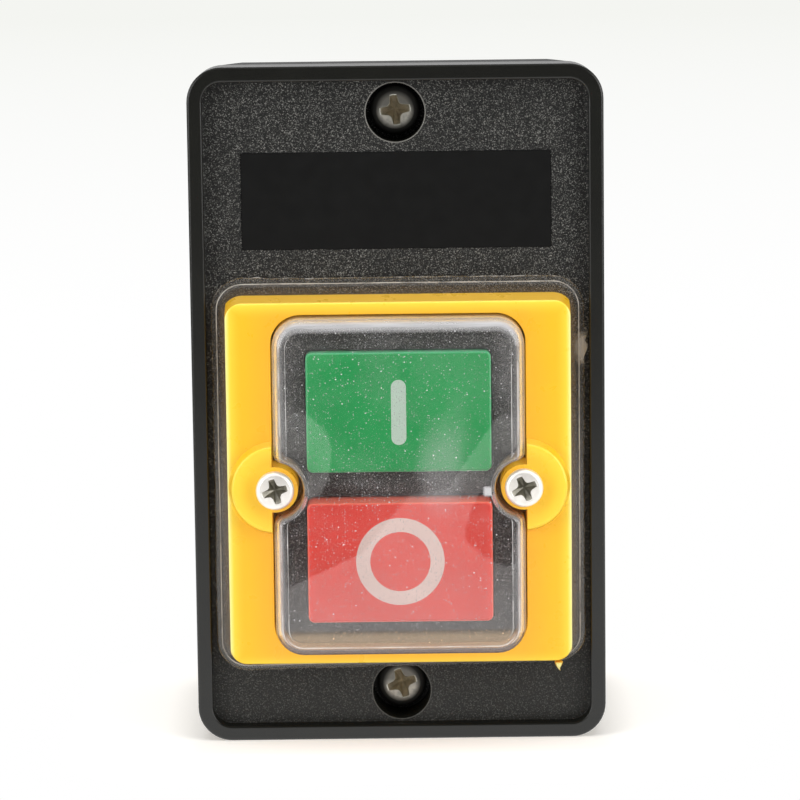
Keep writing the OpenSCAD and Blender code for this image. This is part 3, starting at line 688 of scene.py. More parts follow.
# Upward parts of the edge's slope over which its top and its bottom set in, and the least slope squared
TOP_SLOPE = (0.25, 0.9)
BOTTOM_SLOPE = (-0.25, -0.9)
LEAST_SLOPE = 0.0004
# How often the streaks change: across the outline for each millimetre, and along it for each metre
STREAKS_ACROSS = 2.6
STREAKS_ALONG = 90
# Heights over the switch's middle between which a warm painted reflection of the yellow bezel sets in
LOW_BEZEL_REFLECTION = (-22.5, -23.6)
# Colours of the haze, of the bezel's painted reflection, of the painted shade and of the painted highlights
EDGE_WHITE = (0.80, 0.79, 0.80)
EDGE_BEZEL_REFLECTION = (0.80, 0.60, 0.40)
EDGE_PAINTED_SHADE = (0.24, 0.205, 0.205)
EDGE_HIGHLIGHT_COLOUR = (0.82, 0.80, 0.78)


def edge_haze_and_painted_light(g, inset, dome):
    """Share and colour of the whitish haze on the dome's rounded edge, partly the vinyl's own and partly
    painted light, with painted highlights, the bezel's painted reflection and painted shade.
    """
    normal = g.normal()
    across = g.minus(1.0, g.both(normal["Y"], normal["Y"]))
    rising = g.math("DIVIDE", normal["Z"], g.math("SQRT", g.most(across, LEAST_SLOPE)))
    top = g.scale(rising, TOP_SLOPE)
    bottom = g.scale(rising, BOTTOM_SLOPE)
    where = g.axes(g.place)
    swept = {
        "X": g.both(inset, STREAKS_ACROSS),
        "Y": g.both(where["X"], STREAKS_ALONG),
        "Z": g.both(where["Z"], STREAKS_ALONG),
    }
    streak = g.new("TexNoise", {"Vector": g.new("CombineXYZ", swept).outputs[0], "Scale": 1.0}).outputs[0]
    x, up = g.from_middle()
    by_notch = g.patch(g.absolute(x), up, (SCREW_X, 0), (NOTCH_REACH, NOTCH_REACH), 0.1)
    body = g.plus(EDGE_HAZE, g.both(top, TOP_PAINTED_LIGHT))
    body = g.both(body, g.scale(by_notch, (0, 1), (1, NOTCH_HAZE)))
    band = g.both(g.both(g.scale(inset, BAND_FADE, (1, 0)), body), g.scale(streak, NOISE_RANGE, (0.7, 1.2)))
    # Painted highlights of the lamps on the edge, and painted shade and the bezel's painted reflection low
    # down
    sides = g.minus(1.0, g.most(top, bottom))
    side_highlights = [g.both(sides, g.pulse(inset, *line)) for line in BAND_HIGHLIGHTS]
    highlights = g.most(g.both(bottom, g.pulse(inset, *LOW_HIGHLIGHT)), *side_highlights)
    highlights = g.both(highlights, g.cloudy(4, 2, (0.25, 0.7), (0.35, 0.6)))
    low_shade = g.both(bottom, g.scale(inset, LOW_SHADE_BAND, (0.6, 0)))
    low_reflection = g.both(g.scale(up, LOW_BEZEL_REFLECTION, (0, 0.2)), g.above(inset, LOW_SHADE_BAND[1]))
    warm = g.most(g.scale(inset, WALL_BEZEL_REFLECTION, (1, 0)), g.above(low_reflection, 0.01))
    colour = g.mix(warm, EDGE_WHITE, EDGE_BEZEL_REFLECTION)
    colour = g.mix(g.above(low_shade, 0.02), colour, EDGE_PAINTED_SHADE)
    colour = g.mix(g.above(highlights, 0.1), colour, EDGE_HIGHLIGHT_COLOUR)
    return g.both(dome, g.most(highlights, band, low_shade, low_reflection)), colour


# The whitish mark where the boot was moulded: its (x, up), and its soft half width and half height
GATE = (14.2, -0.25)
GATE_WIDTH = (0.6, 1.1)
GATE_HEIGHT = (0.5, 0.9)
GATE_SHARE = 0.5
# Heights over which the face's lower part grows hazy
LOW_FACE = (-12, -25)
LOW_FACE_SHARE = 0.05
# Dust as (size of the cells, share of them, radius as a share of the size), with its strength
COARSE_DUST = ((0.9, 0.35, 0.15), 0.9)
FINE_DUST = ((0.4, 0.5, 0.24), 0.6)
# Soft clouds on the face, each with its strength
SOFT_CLOUDS = [
    (((6.6, 3.5), (3.0, 6.4), 0.45), 0.085),
    (((9.2, 9.0), (1.8, 4.6), 0.6), 0.03),
    (((10.0, 19.0), (6.0, 5.0), 0.9), 0.022),
    (((-3.0, 21.0), (2.6, 6.0), 0.6), 0.02),
    (((-5.5, 1.2), (3.0, 0.9), 0.6), 0.02),
    (((-18.2, 22.0), (2.6, 11.0), 0.5), 0.03),
    (((18.2, 22.0), (2.6, 11.0), 0.5), 0.045),
    (((0.0, -9.0), (13.0, 9.0), 0.9), 0.02),
]


def face_dirt(g):
    """Share of dust, clouds and the whitish gate mark on the dome's face."""
    x, up = g.from_middle()
    dirt = g.cloudy(5, 4, (0.001, 0.014), (0.4, 0.75))
    dirt = g.plus(dirt, g.scale(up, LOW_FACE, (0, LOW_FACE_SHARE)))
    for cloud, strength in SOFT_CLOUDS:
        dirt = g.plus(dirt, g.both(g.patch(x, up, *cloud), strength))
    for specks, strength in (COARSE_DUST, FINE_DUST):
        dirt = g.most(dirt, g.both(g.dust(*specks), strength))
    off_x, off_up = (g.absolute(g.minus(*pair)) for pair in zip((x, up), GATE))
    gate = g.both(g.scale(off_x, GATE_WIDTH, (GATE_SHARE, 0)), g.scale(off_up, GATE_HEIGHT, (1, 0)))
    return g.most(dirt, gate)


FLANGE_HAZE = 0.02
# The flange's bead, by its distance in from the outer edge and half its width, along which runs a painted
# highlight
BEAD_HIGHLIGHT = (0.85, 0.14)
RAW_EDGE = 0.14
# Whitish torn flash at the flange's right edge, as middle, radii and softness
FLASH = ((29.4, 21.2), (1.1, 2.2), 0.35)
# How far in from the edge the flange turns brown, a painted reflection of the yellow bezel, and its haze
# sets in, and the haze between two heights
BEZEL_REFLECTION_FROM = (0.95, 1.3)
UNDER_BEZEL_FROM = (1.0, 2.2)
UNDER_BEZEL_HEIGHTS = (27, 30)
UNDER_BEZEL_SHARE = (0.27, 0.13)
VINYL = (0.97, 0.955, 0.93)
FLANGE_GREY = (0.66, 0.63, 0.58)
FLANGE_BEZEL_REFLECTION = (0.46, 0.32, 0.16)
PASSED_LIGHT = (0.96, 0.95, 0.94)
# Size and depth of the ripples of the whole boot
RIPPLE = 3.5
RIPPLE_DEPTH = 0.008


def flange_share(g, inset):
    """Share and colour of the haze on the flange, with a painted highlight on its bead and a painted
    reflection of the yellow bezel that turns it brown.
    """
    from_edge = g.both(inset, -1.0)
    x, up = g.from_middle()
    # Painted highlight along the bead
    bead = g.both(g.pulse(from_edge, *BEAD_HIGHLIGHT), g.cloudy(3, 2, (0.45, 0.9), (0.3, 0.6)))
    torn = g.cloudy(2, 3, (0.05, 0.6), (0.45, 0.65))
    raw = g.both(g.scale(from_edge, (0, RAW_EDGE), (1, 0)), torn)
    flash = g.both(g.patch(x, up, *FLASH), g.scale(from_edge, (0.3, 1.0), (0.42, 0)))
    by_height = g.scale(up, UNDER_BEZEL_HEIGHTS, UNDER_BEZEL_SHARE)
    under_bezel = g.both(g.scale(from_edge, UNDER_BEZEL_FROM), by_height)
    # The brown is a painted reflection of the yellow bezel
    colour = g.mix(g.scale(from_edge, BEZEL_REFLECTION_FROM), FLANGE_GREY, FLANGE_BEZEL_REFLECTION)
    return g.most(under_bezel, FLANGE_HAZE, bead, raw, flash), colour


def clear_vinyl():
    """Clear soft plastic: hazy round the dome's edge, dusty on its face, with a bead in its flange. Its
    haze carries painted highlights, painted shade and the yellow bezel's painted reflection.
    """
    mat, g, shader = new_material("clear_vinyl")
    inset = g.new("Attribute", attribute_name="inset").outputs["Fac"]
    dome = g.above(inset, 0.0)
    facing = g.normal()["Y"]
    on_face = g.scale(g.absolute(facing), (0.9, 0.999))
    lean = g.both(g.both(facing, on_face), g.both(dome, face_tilt(g)))
    shift = g.new("CombineXYZ", {"Z": lean}).outputs[0]
    rippled = g.bump(g.noise(RIPPLE, 2), RIPPLE_DEPTH)
    leaning = g.new("VectorMath", {0: rippled, 1: shift}, operation="ADD").outputs[0]
    g.feed(shader, {
        "Base Color": VINYL,
        "Transmission Weight": 1.0,
        "IOR": CLEAR_IOR,
        "Roughness": g.cloudy(6, 3, (0.0, 0.04)),
        "Normal": g.new("VectorMath", {0: leaning}, operation="NORMALIZE").outputs[0],
    })

    band, band_colour = edge_haze_and_painted_light(g, inset, dome)
    dirt = g.both(g.both(dome, on_face), face_dirt(g))
    flange, flange_colour = flange_share(g, inset)
    flange = g.both(g.minus(1.0, dome), flange)
    haze = g.new("BsdfDiffuse", {"Color": g.mix(dome, flange_colour, band_colour)}).outputs[0]
    body = g.mix_shader(g.most(flange, band, dirt), shader.outputs[0], haze)
    # Light from the lamps goes on through to what lies behind
    rays = g.new("LightPath").outputs
    passing = g.most(rays["Is Shadow Ray"], rays["Is Diffuse Ray"])
    straight = g.new("BsdfTransparent", {"Color": PASSED_LIGHT}).outputs[0]
    surface = mat.node_tree.nodes["Material Output"].inputs["Surface"]
    g.put(surface, g.mix_shader(passing, body, straight))
    return mat


def dress(mat, *names):
    for name in names:
        mesh = nodes[name].data
        mesh.materials.clear()
        mesh.materials.append(mat)


# Meshes

class Skin:
    """Points and faces of one piece, as rings that are bridged and filled. Points may carry an inset.

    A group holds the faces of one of the later materials, as (its index, faces).
    """

    def __init__(self, middle_z=SWITCH_Z):
        self.middle_z = middle_z
        self.points = []
        self.insets = []
        self.faces = []
        self.groups = []

    def ring(self, points, inset=0.0):
        start = len(self.points)
        self.points += points
        self.insets += [inset] * len(points)
        return list(range(start, len(self.points)))

    def lift(self, outline, forward, inset, up=0.0):
        """Ring from an outline at one height forward of the rim."""
        return self.ring([(x, y + up, forward) for x, y in outline], inset)

    def bridge(self, a, b):
        self.faces += zip(a, a[1:] + a[:1], b[1:] + b[:1], b)

    def bridge_all(self, rings):
        for a, b in zip(rings, rings[1:]):
            self.bridge(a, b)

    def cap(self, ring, tip):
        """Fan from a ring to one point."""
        centre = self.ring([tip])
        self.faces += zip(ring, ring[1:] + ring[:1], centre * len(ring))

    def fill(self, rim, holes=(), extra=(), inset=0.0):
        """Triangles between a rim and holes that lie in it, through the extra points."""
        loops = [rim, *holes]
        inner = self.ring(list(extra), inset)
        members = [i for loop in loops for i in loop] + inner
        flat = [Vector(self.points[i][:2]) for i in members]
        edges, start = [], 0
        for loop in loops:
            count = len(loop)
            edges += [(start + i, start + (i + 1) % count) for i in range(count)]
            start += count
        made = delaunay_2d_cdt(flat, edges, [], 1, 1e-6)
        source = [members[origin[0]] for origin in made[3]]
        outlines = [[self.points[i][:2] for i in loop] for loop in loops]
        for face in made[2]:
            corners = [source[i] for i in face]
            x = sum(self.points[i][0] for i in corners) / 3
            up = sum(self.points[i][1] for i in corners) / 3
            if inside(outlines[0], x, up) and not any(inside(hole, x, up) for hole in outlines[1:]):
                self.faces.append(tuple(corners))

    def make(self, name, mats, smooth_angle=35):
        mesh = bpy.data.meshes.new(name)
        mesh.from_pydata([seen_from_front(*p, self.middle_z) for p in self.points], [], self.faces)
        shape = bmesh.new()
        shape.from_mesh(mesh)
        bmesh.ops.recalc_face_normals(shape, faces=shape.faces)
        shape.to_mesh(mesh)
        shape.free()
        mesh.attributes.new("inset", "FLOAT", "POINT").data.foreach_set("value", self.insets)
        for mat in mats:
            mesh.materials.append(mat)
        for index, faces in self.groups:
            for i in faces:
                mesh.polygons[i].material_index = index
        mesh.shade_smooth()
        mesh.set_sharp_from_angle(angle=math.radians(smooth_angle))
        piece = add_object(name, mesh)
        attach(piece, "enclosure")
        return piece


def inside(outline, x, y):
    """True if a point lies in a closed outline."""
    found = False
    for i, (ax, ay) in enumerate(outline):
        bx, by = outline[i - 1]
        if (ay > y) != (by > y) and x < (bx - ax) * (y - ay) / (by - ay) + ax:
            found = not found
    return found


def distance(outline, x, y):
    """Distance from a point to the nearest corner of an outline."""
    return min(math.hypot(x - a, y - b) for a, b in outline)


def arc(centre, radius, start, end, steps):
    """Points on an arc, from start to end in degrees, both ends included."""
    turns = [math.radians(start + (end - start) * i / steps) for i in range(steps + 1)]
    return [(centre[0] + radius * math.cos(t), centre[1] + radius * math.sin(t)) for t in turns]


def circle(centre, radius, sides):
    return arc(centre, radius, 0, 360 - 360 / sides, sides - 1)


def stretch(a, b, steps):
    """Points between a and b, both left out."""
    return [(a[0] + (b[0] - a[0]) * i / steps, a[1] + (b[1] - a[1]) * i / steps) for i in range(1, steps)]


def all_round(quarter):
    """Closed outline from its upper right quarter, which starts at x > 0 on up = 0 and ends on x = 0."""
    left = [(-x, y) for x, y in reversed(quarter[:-1])]
    lower_left = [(-x, -y) for x, y in quarter[1:]]
    lower_right = [(x, -y) for x, y in reversed(quarter[1:-1])]
    return quarter + left + lower_left + lower_right


def rounded_outline(width, height, radius, step, full_w, full_h):
    """Rounded rectangle with points about one step apart, as many as on the full width and height."""
    half_w, half_h = width / 2, height / 2
    corner = arc((half_w - radius, half_h - radius), radius, 0, 90, 12)
    side = [(half_w, 0), *stretch((half_w, 0), corner[0], round(full_h / 2 / step))]
    top = stretch(corner[-1], (0, half_h), round(full_w / 2 / step))
    return all_round(side + corner + top + [(0, half_h)])


# Burr on the bezel. It starts a little inside the bezel, and its tip leans to the right.

BURR_X = 25.3
BURR_FORWARD = EAR_BASE - 1.1
BURR_START = 0.4
BURR_LENGTH = 1.55
BURR_LEAN = 0.25
BURR_SIDES = 8
# Rings as (half depth, how far down), and the width as a share of the depth
BURR_RINGS = ((1, 0), (0.7, 0.6), (0.3, 1.05))
BURR_WIDTH = 0.7


def make_burr(mat):
    """Torn flash that the moulding left under the bezel's lower right corner."""
    skin = Skin()
    top = (bezel_low.z - SWITCH_Z) / MM + BURR_START
    rings = []
    for half, down in BURR_RINGS:
        outline = circle((0, 0), half, BURR_SIDES)
        points = [(BURR_X + BURR_WIDTH * x, top - down, BURR_FORWARD + forward) for x, forward in outline]
        rings.append(skin.ring(points))
    skin.bridge_all(rings)
    skin.cap(rings[0], (BURR_X, top, BURR_FORWARD))
    skin.cap(rings[-1], (BURR_X + BURR_LEAN, top - BURR_LENGTH, BURR_FORWARD))
    skin.make("bezel_burr", [mat])


# Clear boot

DOME_W = 40
DOME_H = 54.2
DOME_UP = 0.3
DOME_R = 4.5
# The rounding of the face's edge, the share of it beside the notches, and the corners there
DOME_EDGE = 2.2
NOTCH_SHARE = 0.4
NOTCH_R = 4.5
CORNER_R = 1.5
LEAST_FILLET = 0.5
BOOT_T = 0.7
ROOT_R = 0.35
FLANGE_R = 5
FLANGE_T = 1.2
BEAD_INSET = 0.85
BEAD_H = 0.08
SCREW_HOLE_R = 1.95
SCREW_HOLE_SIDES = 24
# Insets that points carry: in from the dome's outline over 0, and in from the flange's edge under 0
INNERMOST = 0.01
ON_FACE = 6
UNDER_BEZEL = -6
BACK = -0.3
# Levels forward of the rim: the dome's face, and the flange's back and front
FACE = forward_of(boot_low.y)
PANEL = forward_of(boot_high.y)
UNDER = PANEL + 0.02
FLANGE_FRONT = PANEL + FLANGE_T
BEAD_TOP = FLANGE_FRONT + BEAD_H
FLANGE_W = (boot_high.x - boot_low.x) / MM
FLANGE_H = (boot_high.z - boot_low.z) / MM
FLANGE_UP = ((boot_low.z + boot_high.z) / 2 - SWITCH_Z) / MM
# Turns round a rounded edge
BENDS = [math.radians(9 * i) for i in range(11)]


def waist_outline(growth):
    """Outline of the waisted dome, grown outwards. Every growth has the same number of points."""
    half_w, low, high = DOME_W / 2 + growth, DOME_UP - DOME_H / 2 - growth, DOME_UP + DOME_H / 2 + growth
    radius, notch = DOME_R + growth, NOTCH_R - growth * NOTCH_SHARE
    fillet = max(LEAST_FILLET, CORNER_R + growth * NOTCH_SHARE)
    fillet_x = half_w - fillet
    fillet_up = math.sqrt((notch + fillet) ** 2 - (fillet_x - SCREW_X) ** 2)
    lean = math.degrees(math.atan2(fillet_up, fillet_x - SCREW_X))
    waist = arc((fillet_x, -fillet_up), fillet, 0, 180 - lean, 5)
    waist += arc((SCREW_X, 0), notch, 360 - lean, lean, 18)[1:-1]
    waist += arc((fillet_x, fillet_up), fillet, lean - 180, 0, 5)
    lower_corner = arc((half_w - radius, low + radius), radius, 270, 360, 8)
    upper_corner = arc((half_w - radius, high - radius), radius, 0, 90, 8)
    points = [(0, low), *stretch((0, low), lower_corner[0], 8), *lower_corner]
    points += stretch(lower_corner[-1], waist[0], 8) + waist
    points += stretch(waist[-1], upper_corner[0], 8) + upper_corner
    points += [*stretch(upper_corner[-1], (0, high), 8), (0, high)]
    return points + [(-x, up) for x, up in reversed(points[1:-1])]


# The soft face sags, and rises to its edge over a short reach. Its slow bulges and dents are
# (x, up, width, height, how far forward). The screws pull the face in beside the notches.
FACE_SAG = 0.12
SAG_REACH = 5
FACE_BULGES = [
    (-12.5, 0, 7, 8, -0.24), (12.5, 0, 7, 8, -0.24), (-4, -12, 10, 10, 0.12), (6, 14, 9, 9, 0.05),
    (0, 24, 16, 6, -0.05), (-15, -20, 8, 8, -0.06), (14, -22, 8, 8, 0.06),
]
FACE_WAVE = 0.02
FACE_WAVE_SIZE = 8
# Spacing of the points on the face, and the least distance of one from its edge
FACE_STEP = 1.25
FACE_MARGIN = 0.8


def face_height(x, up, outline):
    """How far a place on the soft face stands forward of its edge."""
    swell = FACE_WAVE * noise.noise(Vector((x / FACE_WAVE_SIZE, up / FACE_WAVE_SIZE, 3.1)))
    for middle_x, middle_up, width, height, rise in FACE_BULGES:
        swell += rise * math.exp(-(((x - middle_x) / width) ** 2) - ((up - middle_up) / height) ** 2)
    return (swell - FACE_SAG) * min(1, distance(outline, x, up) / SAG_REACH)


def face_points(outline, front):
    """Points inside an outline on a grid, on the waving face."""
    points = []
    columns, rows = int(DOME_W / 2 / FACE_STEP), int(DOME_H / 2 / FACE_STEP)
    for i in range(-columns, columns + 1):
        for j in range(-rows, rows + 1):
            x, up = i * FACE_STEP, DOME_UP + j * FACE_STEP
            if inside(outline, x, up) and distance(outline, x, up) > FACE_MARGIN:
                points.append((x, up, front + face_height(x, up, outline)))
    return points


# The flange's outline is this much smaller than its box, so that its waves stay in the box
FLANGE_PLAY = 0.4
FLANGE_STEP = 0.6
# How far in from the flange's edge its cut stays ragged
RAGGED = 0.35
# Waves of the outline, as (how far, size)
SLOW_WAVE = (0.05, 12)
CUT_WAVE = (0.13, 4)
# Flash at the right edge and lumps at the top edge, as (start, end, how far out, turn for each millimetre)
RIGHT_FLASH = (19, 23.4, 0.8, 1.45)
TOP_LUMPS = (-26, -21, 0.22, 1.25)
NEAR_EDGE = 1
# The bottom edge rises to the right: by how much over the width, the part of it that the middle has, how
# far over the edge this sets in, and how softly
SLANT = 0.95
SLANT_MIDDLE = 0.4
SLANT_REACH = 6
SLANT_SOFT = 5
# The flange as (in from its edge, forward), from its back round its edge and over its bead
FLANGE_SECTION = [
    (0.12, UNDER), (0, PANEL + 0.3), (0, FLANGE_FRONT - 0.2), (0.15, FLANGE_FRONT), (RAGGED, FLANGE_FRONT),
    (BEAD_INSET - 0.35, FLANGE_FRONT), (BEAD_INSET - 0.15, BEAD_TOP - 0.015), (BEAD_INSET, BEAD_TOP),
    (BEAD_INSET + 0.15, BEAD_TOP - 0.015),
    *[(BEAD_INSET + more, FLANGE_FRONT) for more in (0.4, 0.6, 1.1, 1.6, 2.2)],
]


def wave_at(x, up, reach, size):
    return reach * noise.noise(Vector((x / size, up / size, 0.7)))


def torn(along, start, end, reach, turn):
    """How far torn flash stands out at a place along an edge."""
    return reach * abs(math.sin((along - start) * turn)) if start < along < end else 0


def flange_outline(inset):
    """Outline of the flange, which slants at the bottom. Its edge is cut by hand, with flash and lumps."""
    points = []
    width, height = FLANGE_W - FLANGE_PLAY, FLANGE_H - FLANGE_PLAY
    inner_w, inner_h = width - 2 * inset, height - 2 * inset
    for x, up in rounded_outline(inner_w, inner_h, FLANGE_R - inset, FLANGE_STEP, width, height):
        away = Vector((x, up)).normalized()
        wave = wave_at(x, up, *SLOW_WAVE)
        if inset < RAGGED:
            wave += wave_at(x, up, *CUT_WAVE)
            if x > FLANGE_W / 2 - NEAR_EDGE:
                wave += torn(up, *RIGHT_FLASH)
            if up > FLANGE_H / 2 - NEAR_EDGE:
                wave += torn(x, *TOP_LUMPS)
        lower = min(1, max(0, (-up - FLANGE_H / 2 + SLANT_REACH) / SLANT_SOFT))
        slant = lower * SLANT * (x / FLANGE_W + SLANT_MIDDLE)
        points.append((x + away.x * wave, up + away.y * wave + slant))
    return points


def root_rings(skin):
    """Rings of the fillet between the flange and the dome's wall."""
    rings = []
    for t in BENDS[::2]:
        outline = waist_outline(ROOT_R * (1 - math.sin(t)))
        rings.append(skin.lift(outline, FLANGE_FRONT + ROOT_R * (1 - math.cos(t)), UNDER_BEZEL))
    return rings


def dome_rings(skin, edge_r):
    """Rings from the top of the wall round the edge of the face."""
    rings = []
    for t in BENDS:
        growth = edge_r * math.cos(t) - DOME_EDGE
        forward = FACE - DOME_EDGE + edge_r * math.sin(t)
        rings.append(skin.lift(waist_outline(growth), forward, INNERMOST - growth))
    return rings


def flange_rings(skin):
    rings = []
    for inset, forward in FLANGE_SECTION:
        carried = BACK if forward == UNDER else -inset
        rings.append(skin.lift(flange_outline(inset), forward, carried, FLANGE_UP))
    return rings


def make_boot(mat):
    skin = Skin()
    root = root_rings(skin)
    outer = dome_rings(skin, DOME_EDGE)
    skin.bridge_all([*root, *outer])
    face = waist_outline(-DOME_EDGE)
    skin.fill(outer[-1], extra=face_points(face, FACE), inset=ON_FACE)

    inner_foot = skin.lift(waist_outline(-BOOT_T), UNDER, BACK)
    inner = dome_rings(skin, DOME_EDGE - BOOT_T)
    skin.bridge_all([inner_foot, *inner])
    skin.fill(inner[-1], extra=face_points(face, FACE - BOOT_T), inset=ON_FACE)

    flange = flange_rings(skin)
    skin.bridge_all(flange)
    lower_holes, upper_holes = [], []
    for side in (-1, 1):
        hole = circle((side * SCREW_X, 0), SCREW_HOLE_R, SCREW_HOLE_SIDES)
        lower_holes.append(skin.lift(hole, UNDER, BACK))
        upper_holes.append(skin.lift(hole, FLANGE_FRONT, UNDER_BEZEL))
        skin.bridge(lower_holes[-1], upper_holes[-1])
    skin.fill(flange[-1], holes=[root[0], *upper_holes])
    skin.fill(flange[0], holes=[inner_foot, *lower_holes])
    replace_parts(skin.make("boot_shell", [mat], smooth_angle=50), "clear_boot")


# Screws. A head's sizes are shares of its radius or its height, and the cross's are shares of the recess's
# radius. FOOT_H and TOP_MARGIN are in millimetres.

# Each screw as (head's radius and height, recess's radius, shank's radius and length, pitch)
EAR_SCREW = (EAR_HEAD_R, 1.9, 3.05, 1.75, 16, 0.6)
WELL_SCREW = (WELL_HEAD_R, 2.6, 3.5, 2.0, 20, 0.7)
SIDES = 40
CROWN = 0.4
CROWN_STEPS = 6
DOMING = 0.14
FOOT_R = 0.985
FOOT_H = 0.08
# The cross recess: its arms' length and half width, the bulge of an arm's end and where it starts, the
# fluted corners, the lip and the floor
ARM = 0.7
ARM_HALF = 0.2
ARM_BULGE = 1.03
BULGE_HALF = 0.8
FLUTE_R = 0.25
LIP = 0.93
LIP_DEPTH = 0.05
DEEP = 0.66
DEEP_H = 0.38
# Circles of points on the head's top, how many points each has, and their least distance from the cross
TOP_CIRCLES = (0.42, 0.55, 0.66)
TOP_SIDES = 24
TOP_MARGIN = 0.1
# The thread: its depth as a share of the pitch, how steep its ridges are, and their height at its ends
THREAD_DEPTH = 0.61
RIDGE_STEEPNESS = 1.15
FADED_RIDGE = 0.3
RINGS_PER_TURN = 5


def cross_outline(size):
    """Outline of a cross recess for a head of this radius, with fluted inner corners."""
    half, arm, flute = ARM_HALF * size, ARM * size, FLUTE_R * size
    quarter = [(arm * ARM_BULGE, 0), (arm, half * BULGE_HALF)]
    quarter += arc((half + flute, half + flute), flute, 270, 180, 5)
    quarter.append((half * BULGE_HALF, arm))
    points = []
    for i in range(4):
        c, s = math.cos(math.pi / 2 * i), math.sin(math.pi / 2 * i)
        points += [(x * c - y * s, x * s + y * c) for x, y in quarter]
    return points


def cut_thread(skin, neck, start, lean, shank_r, length, pitch):
    """Threaded shank from its neck down to its end."""
    x0, up0, seat = start
    core = shank_r - THREAD_DEPTH * pitch
    count = int(length / pitch * RINGS_PER_TURN)
    last = neck
    for i in range(1, count + 1):
        down = length * i / count
        points = []
        for k in range(SIDES):
            t = math.radians(360 / SIDES * k) + lean
            phase = (down / pitch + k / SIDES) % 1
            ridge = max(0, 1 - abs(phase * 2 - 1) * RIDGE_STEEPNESS)
            r = core + (shank_r - core) * (ridge if 1 < i < count - 2 else FADED_RIDGE)
            points.append((x0 + r * math.cos(t), up0 + r * math.sin(t), seat - down))
        ring = skin.ring(points)
        skin.bridge(last, ring)
        last = ring
    skin.cap(last, (x0, up0, seat - length))


def make_screw(name, mats, middle, turn, middle_z, sizes):
    """Pan-head screw with a cross recess and a cut thread. Its head's top is at the middle's depth.

    The materials are those of the head, of the recess, darker as painted shade, and of the recess's lip,
    brighter as a painted highlight.
    """
    skin = Skin(middle_z)
    head_r, head_h, recess_r, shank_r, length, pitch = sizes
    x0, up0, top = middle
    seat = top - head_h
    crown = head_h * CROWN
    lean = math.radians(turn)

    def put(points, height):
        """Turns points of the head and lifts each by its height over the seat."""
        moved = []
        for x, y in points:
            u = x * math.cos(lean) - y * math.sin(lean)
            v = x * math.sin(lean) + y * math.cos(lean)
            moved.append((x0 + u, up0 + v, seat + height(math.hypot(x, y))))
        return moved

    def dome(r):
        """Height of the head's top at a distance from its middle."""
        return head_h * (1 - DOMING * (r / head_r) ** 2)

    def level_circle(r, height):
        return skin.ring(put(circle((0, 0), r, SIDES), lambda r: height))

    edge_r = head_r - crown
    side_top = dome(edge_r) - crown
    rings = [level_circle(head_r * FOOT_R, 0), level_circle(head_r, FOOT_H), level_circle(head_r, side_top)]
    for i in range(1, CROWN_STEPS + 1):
        t = math.radians(90 * i / CROWN_STEPS)
        rings.append(level_circle(edge_r + crown * math.cos(t), side_top + crown * math.sin(t)))
    skin.bridge_all(rings)
    cross = cross_outline(recess_r)
    mouth = skin.ring(put(cross, dome))
    top_points = [p for share in TOP_CIRCLES for p in circle((0, 0), head_r * share, TOP_SIDES)]
    clear = [p for p in top_points if distance(cross, *p) > TOP_MARGIN and not inside(cross, *p)]
    skin.fill(rings[-1], holes=[mouth], extra=put(clear, dome))
    lip = skin.ring(put([(x * LIP, y * LIP) for x, y in cross], lambda r: dome(r) - LIP_DEPTH * head_h))
    deep = skin.ring(put([(x * DEEP, y * DEEP) for x, y in cross], lambda r: head_h * DEEP_H))
    first = len(skin.faces)
    skin.bridge(mouth, lip)
    second = len(skin.faces)
    skin.bridge(lip, deep)
    skin.cap(deep, (x0, up0, seat))
    skin.groups = [(1, range(second, len(skin.faces))), (2, range(first, second))]
    neck = level_circle(shank_r, 0)
    skin.fill(rings[0], holes=[neck])
    cut_thread(skin, neck, (x0, up0, seat), lean, shank_r, length, pitch)
    return skin.make(name, mats, smooth_angle=40)


def make_screws(ear_mats, well_mats):
    """The four visible screws, each with its own turn in degrees."""
    for name, side, turn in (("left_ear_screw", -1, 16), ("right_ear_screw", 1, 24)):
        middle = (side * SCREW_X, 0, forward_of(ear_screws_low.y))
        screw = make_screw(name, ear_mats, middle, turn, SWITCH_Z, EAR_SCREW)
        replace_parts(screw, "bezel_screws")
    for name, side, turn in (("bottom_well_screw", -1, 18), ("top_well_screw", 1, 7)):
        middle = (0, side * WELL_REACH, forward_of(well_screws_low.y))
        screw = make_screw(name, well_mats, middle, turn, COVER_Z, WELL_SCREW)
        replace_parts(screw, "cover_screws")


bpy.context.scene.view_settings.view_transform = "Standard"
make_camera()
make_world()
make_lights()
make_floor()

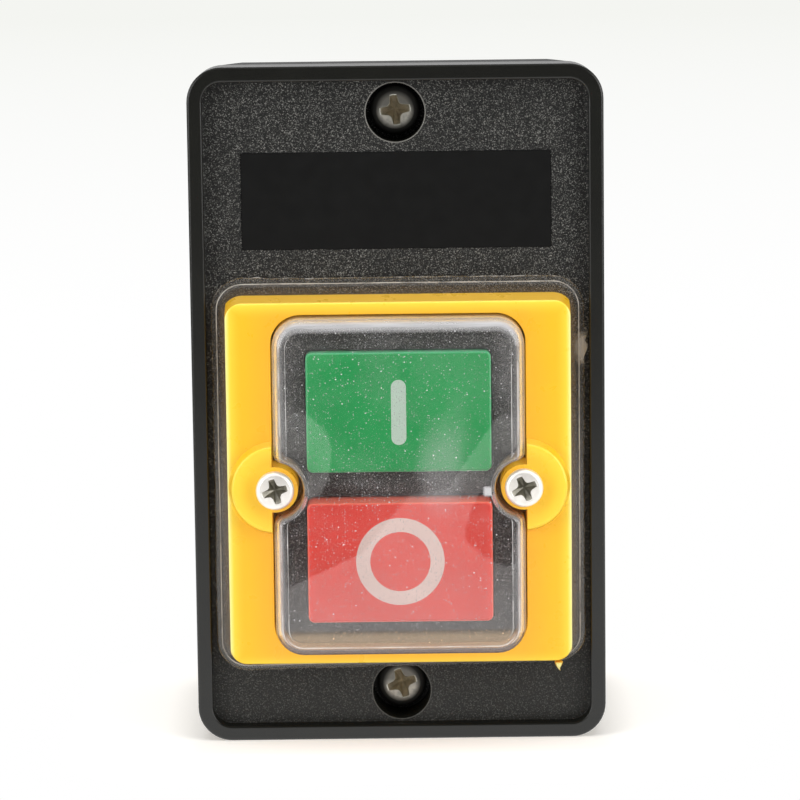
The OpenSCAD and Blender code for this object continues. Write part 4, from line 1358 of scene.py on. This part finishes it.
black = moulded("black_box", (0.010, 0.010, 0.0097), 0.6, grain=0.4, depth=0.02, specular=0.3)
green = cap_plastic("green_cap", "start_button", *GREENS)
red = cap_plastic("red_cap", "stop_button", *REDS)
steel = metal("plated_steel", (0.66, 0.64, 0.60), 0.22)
brass = metal("brass", (0.72, 0.52, 0.2), 0.28)
yellow = yellow_plastic()
dress(cover_plastic(), "front_cover")
dress(black, "back_box")
dress(moulded("black_plate", (0.0052, 0.0052, 0.005), 0.42, specular=0.18), "label_plate")
dress(moulded("black_rubber", (0.02, 0.02, 0.021), 0.6), "cable_grommets")
dress(housing_plastic(), "switch_housing", "contact_base")
dress(yellow, "bezel")
dress(green, "start_button")
dress(red, "stop_button")
dress(moulded("bar_white", (0.46, 0.60, 0.52), 0.45), "start_mark")
dress(moulded("ring_white", (0.66, 0.49, 0.46), 0.45), "stop_mark")
dress(moulded("cream_nylon", (0.72, 0.66, 0.52), 0.42), "rocker", "contact_carriage")
dress(steel, "rocker_pin", "snap_springs", "contact_springs", "base_screws", "terminal_screws")
dress(brass, "threaded_bushes", "line_terminals", "load_terminals", "terminal_clamps")
dress(metal("copper", (0.75, 0.4, 0.25), 0.3), "contact_bridges")
dress(metal("silver", (0.8, 0.79, 0.76), 0.3), "bridge_tips", "fixed_tips")
make_burr(yellow)
make_boot(clear_vinyl())
make_screws(
    [
        metal("bright_zinc", (0.95, 0.91, 0.85), 0.42, metallic=0.75),
        # The recess, darker as painted shade, and its lip, brighter as a painted highlight
        metal("zinc_recess_painted_shade", (0.40, 0.38, 0.32), 0.4, 0.5),
        metal("zinc_lip_painted_highlight", (0.9, 0.87, 0.82), 0.3, metallic=0.3),
    ],
    [
        well_metal("yellowed_zinc", (0.97, 0.92, 0.79)),
        # The recess, darker as painted shade, and its lip, brighter as a painted highlight
        metal("yellowed_recess_painted_shade", (0.70, 0.62, 0.46), 0.4, 0.4, metallic=0.6),
        metal("yellowed_zinc_lip_painted_highlight", (0.95, 0.93, 0.82), 0.3, metallic=0.2),
    ],
)
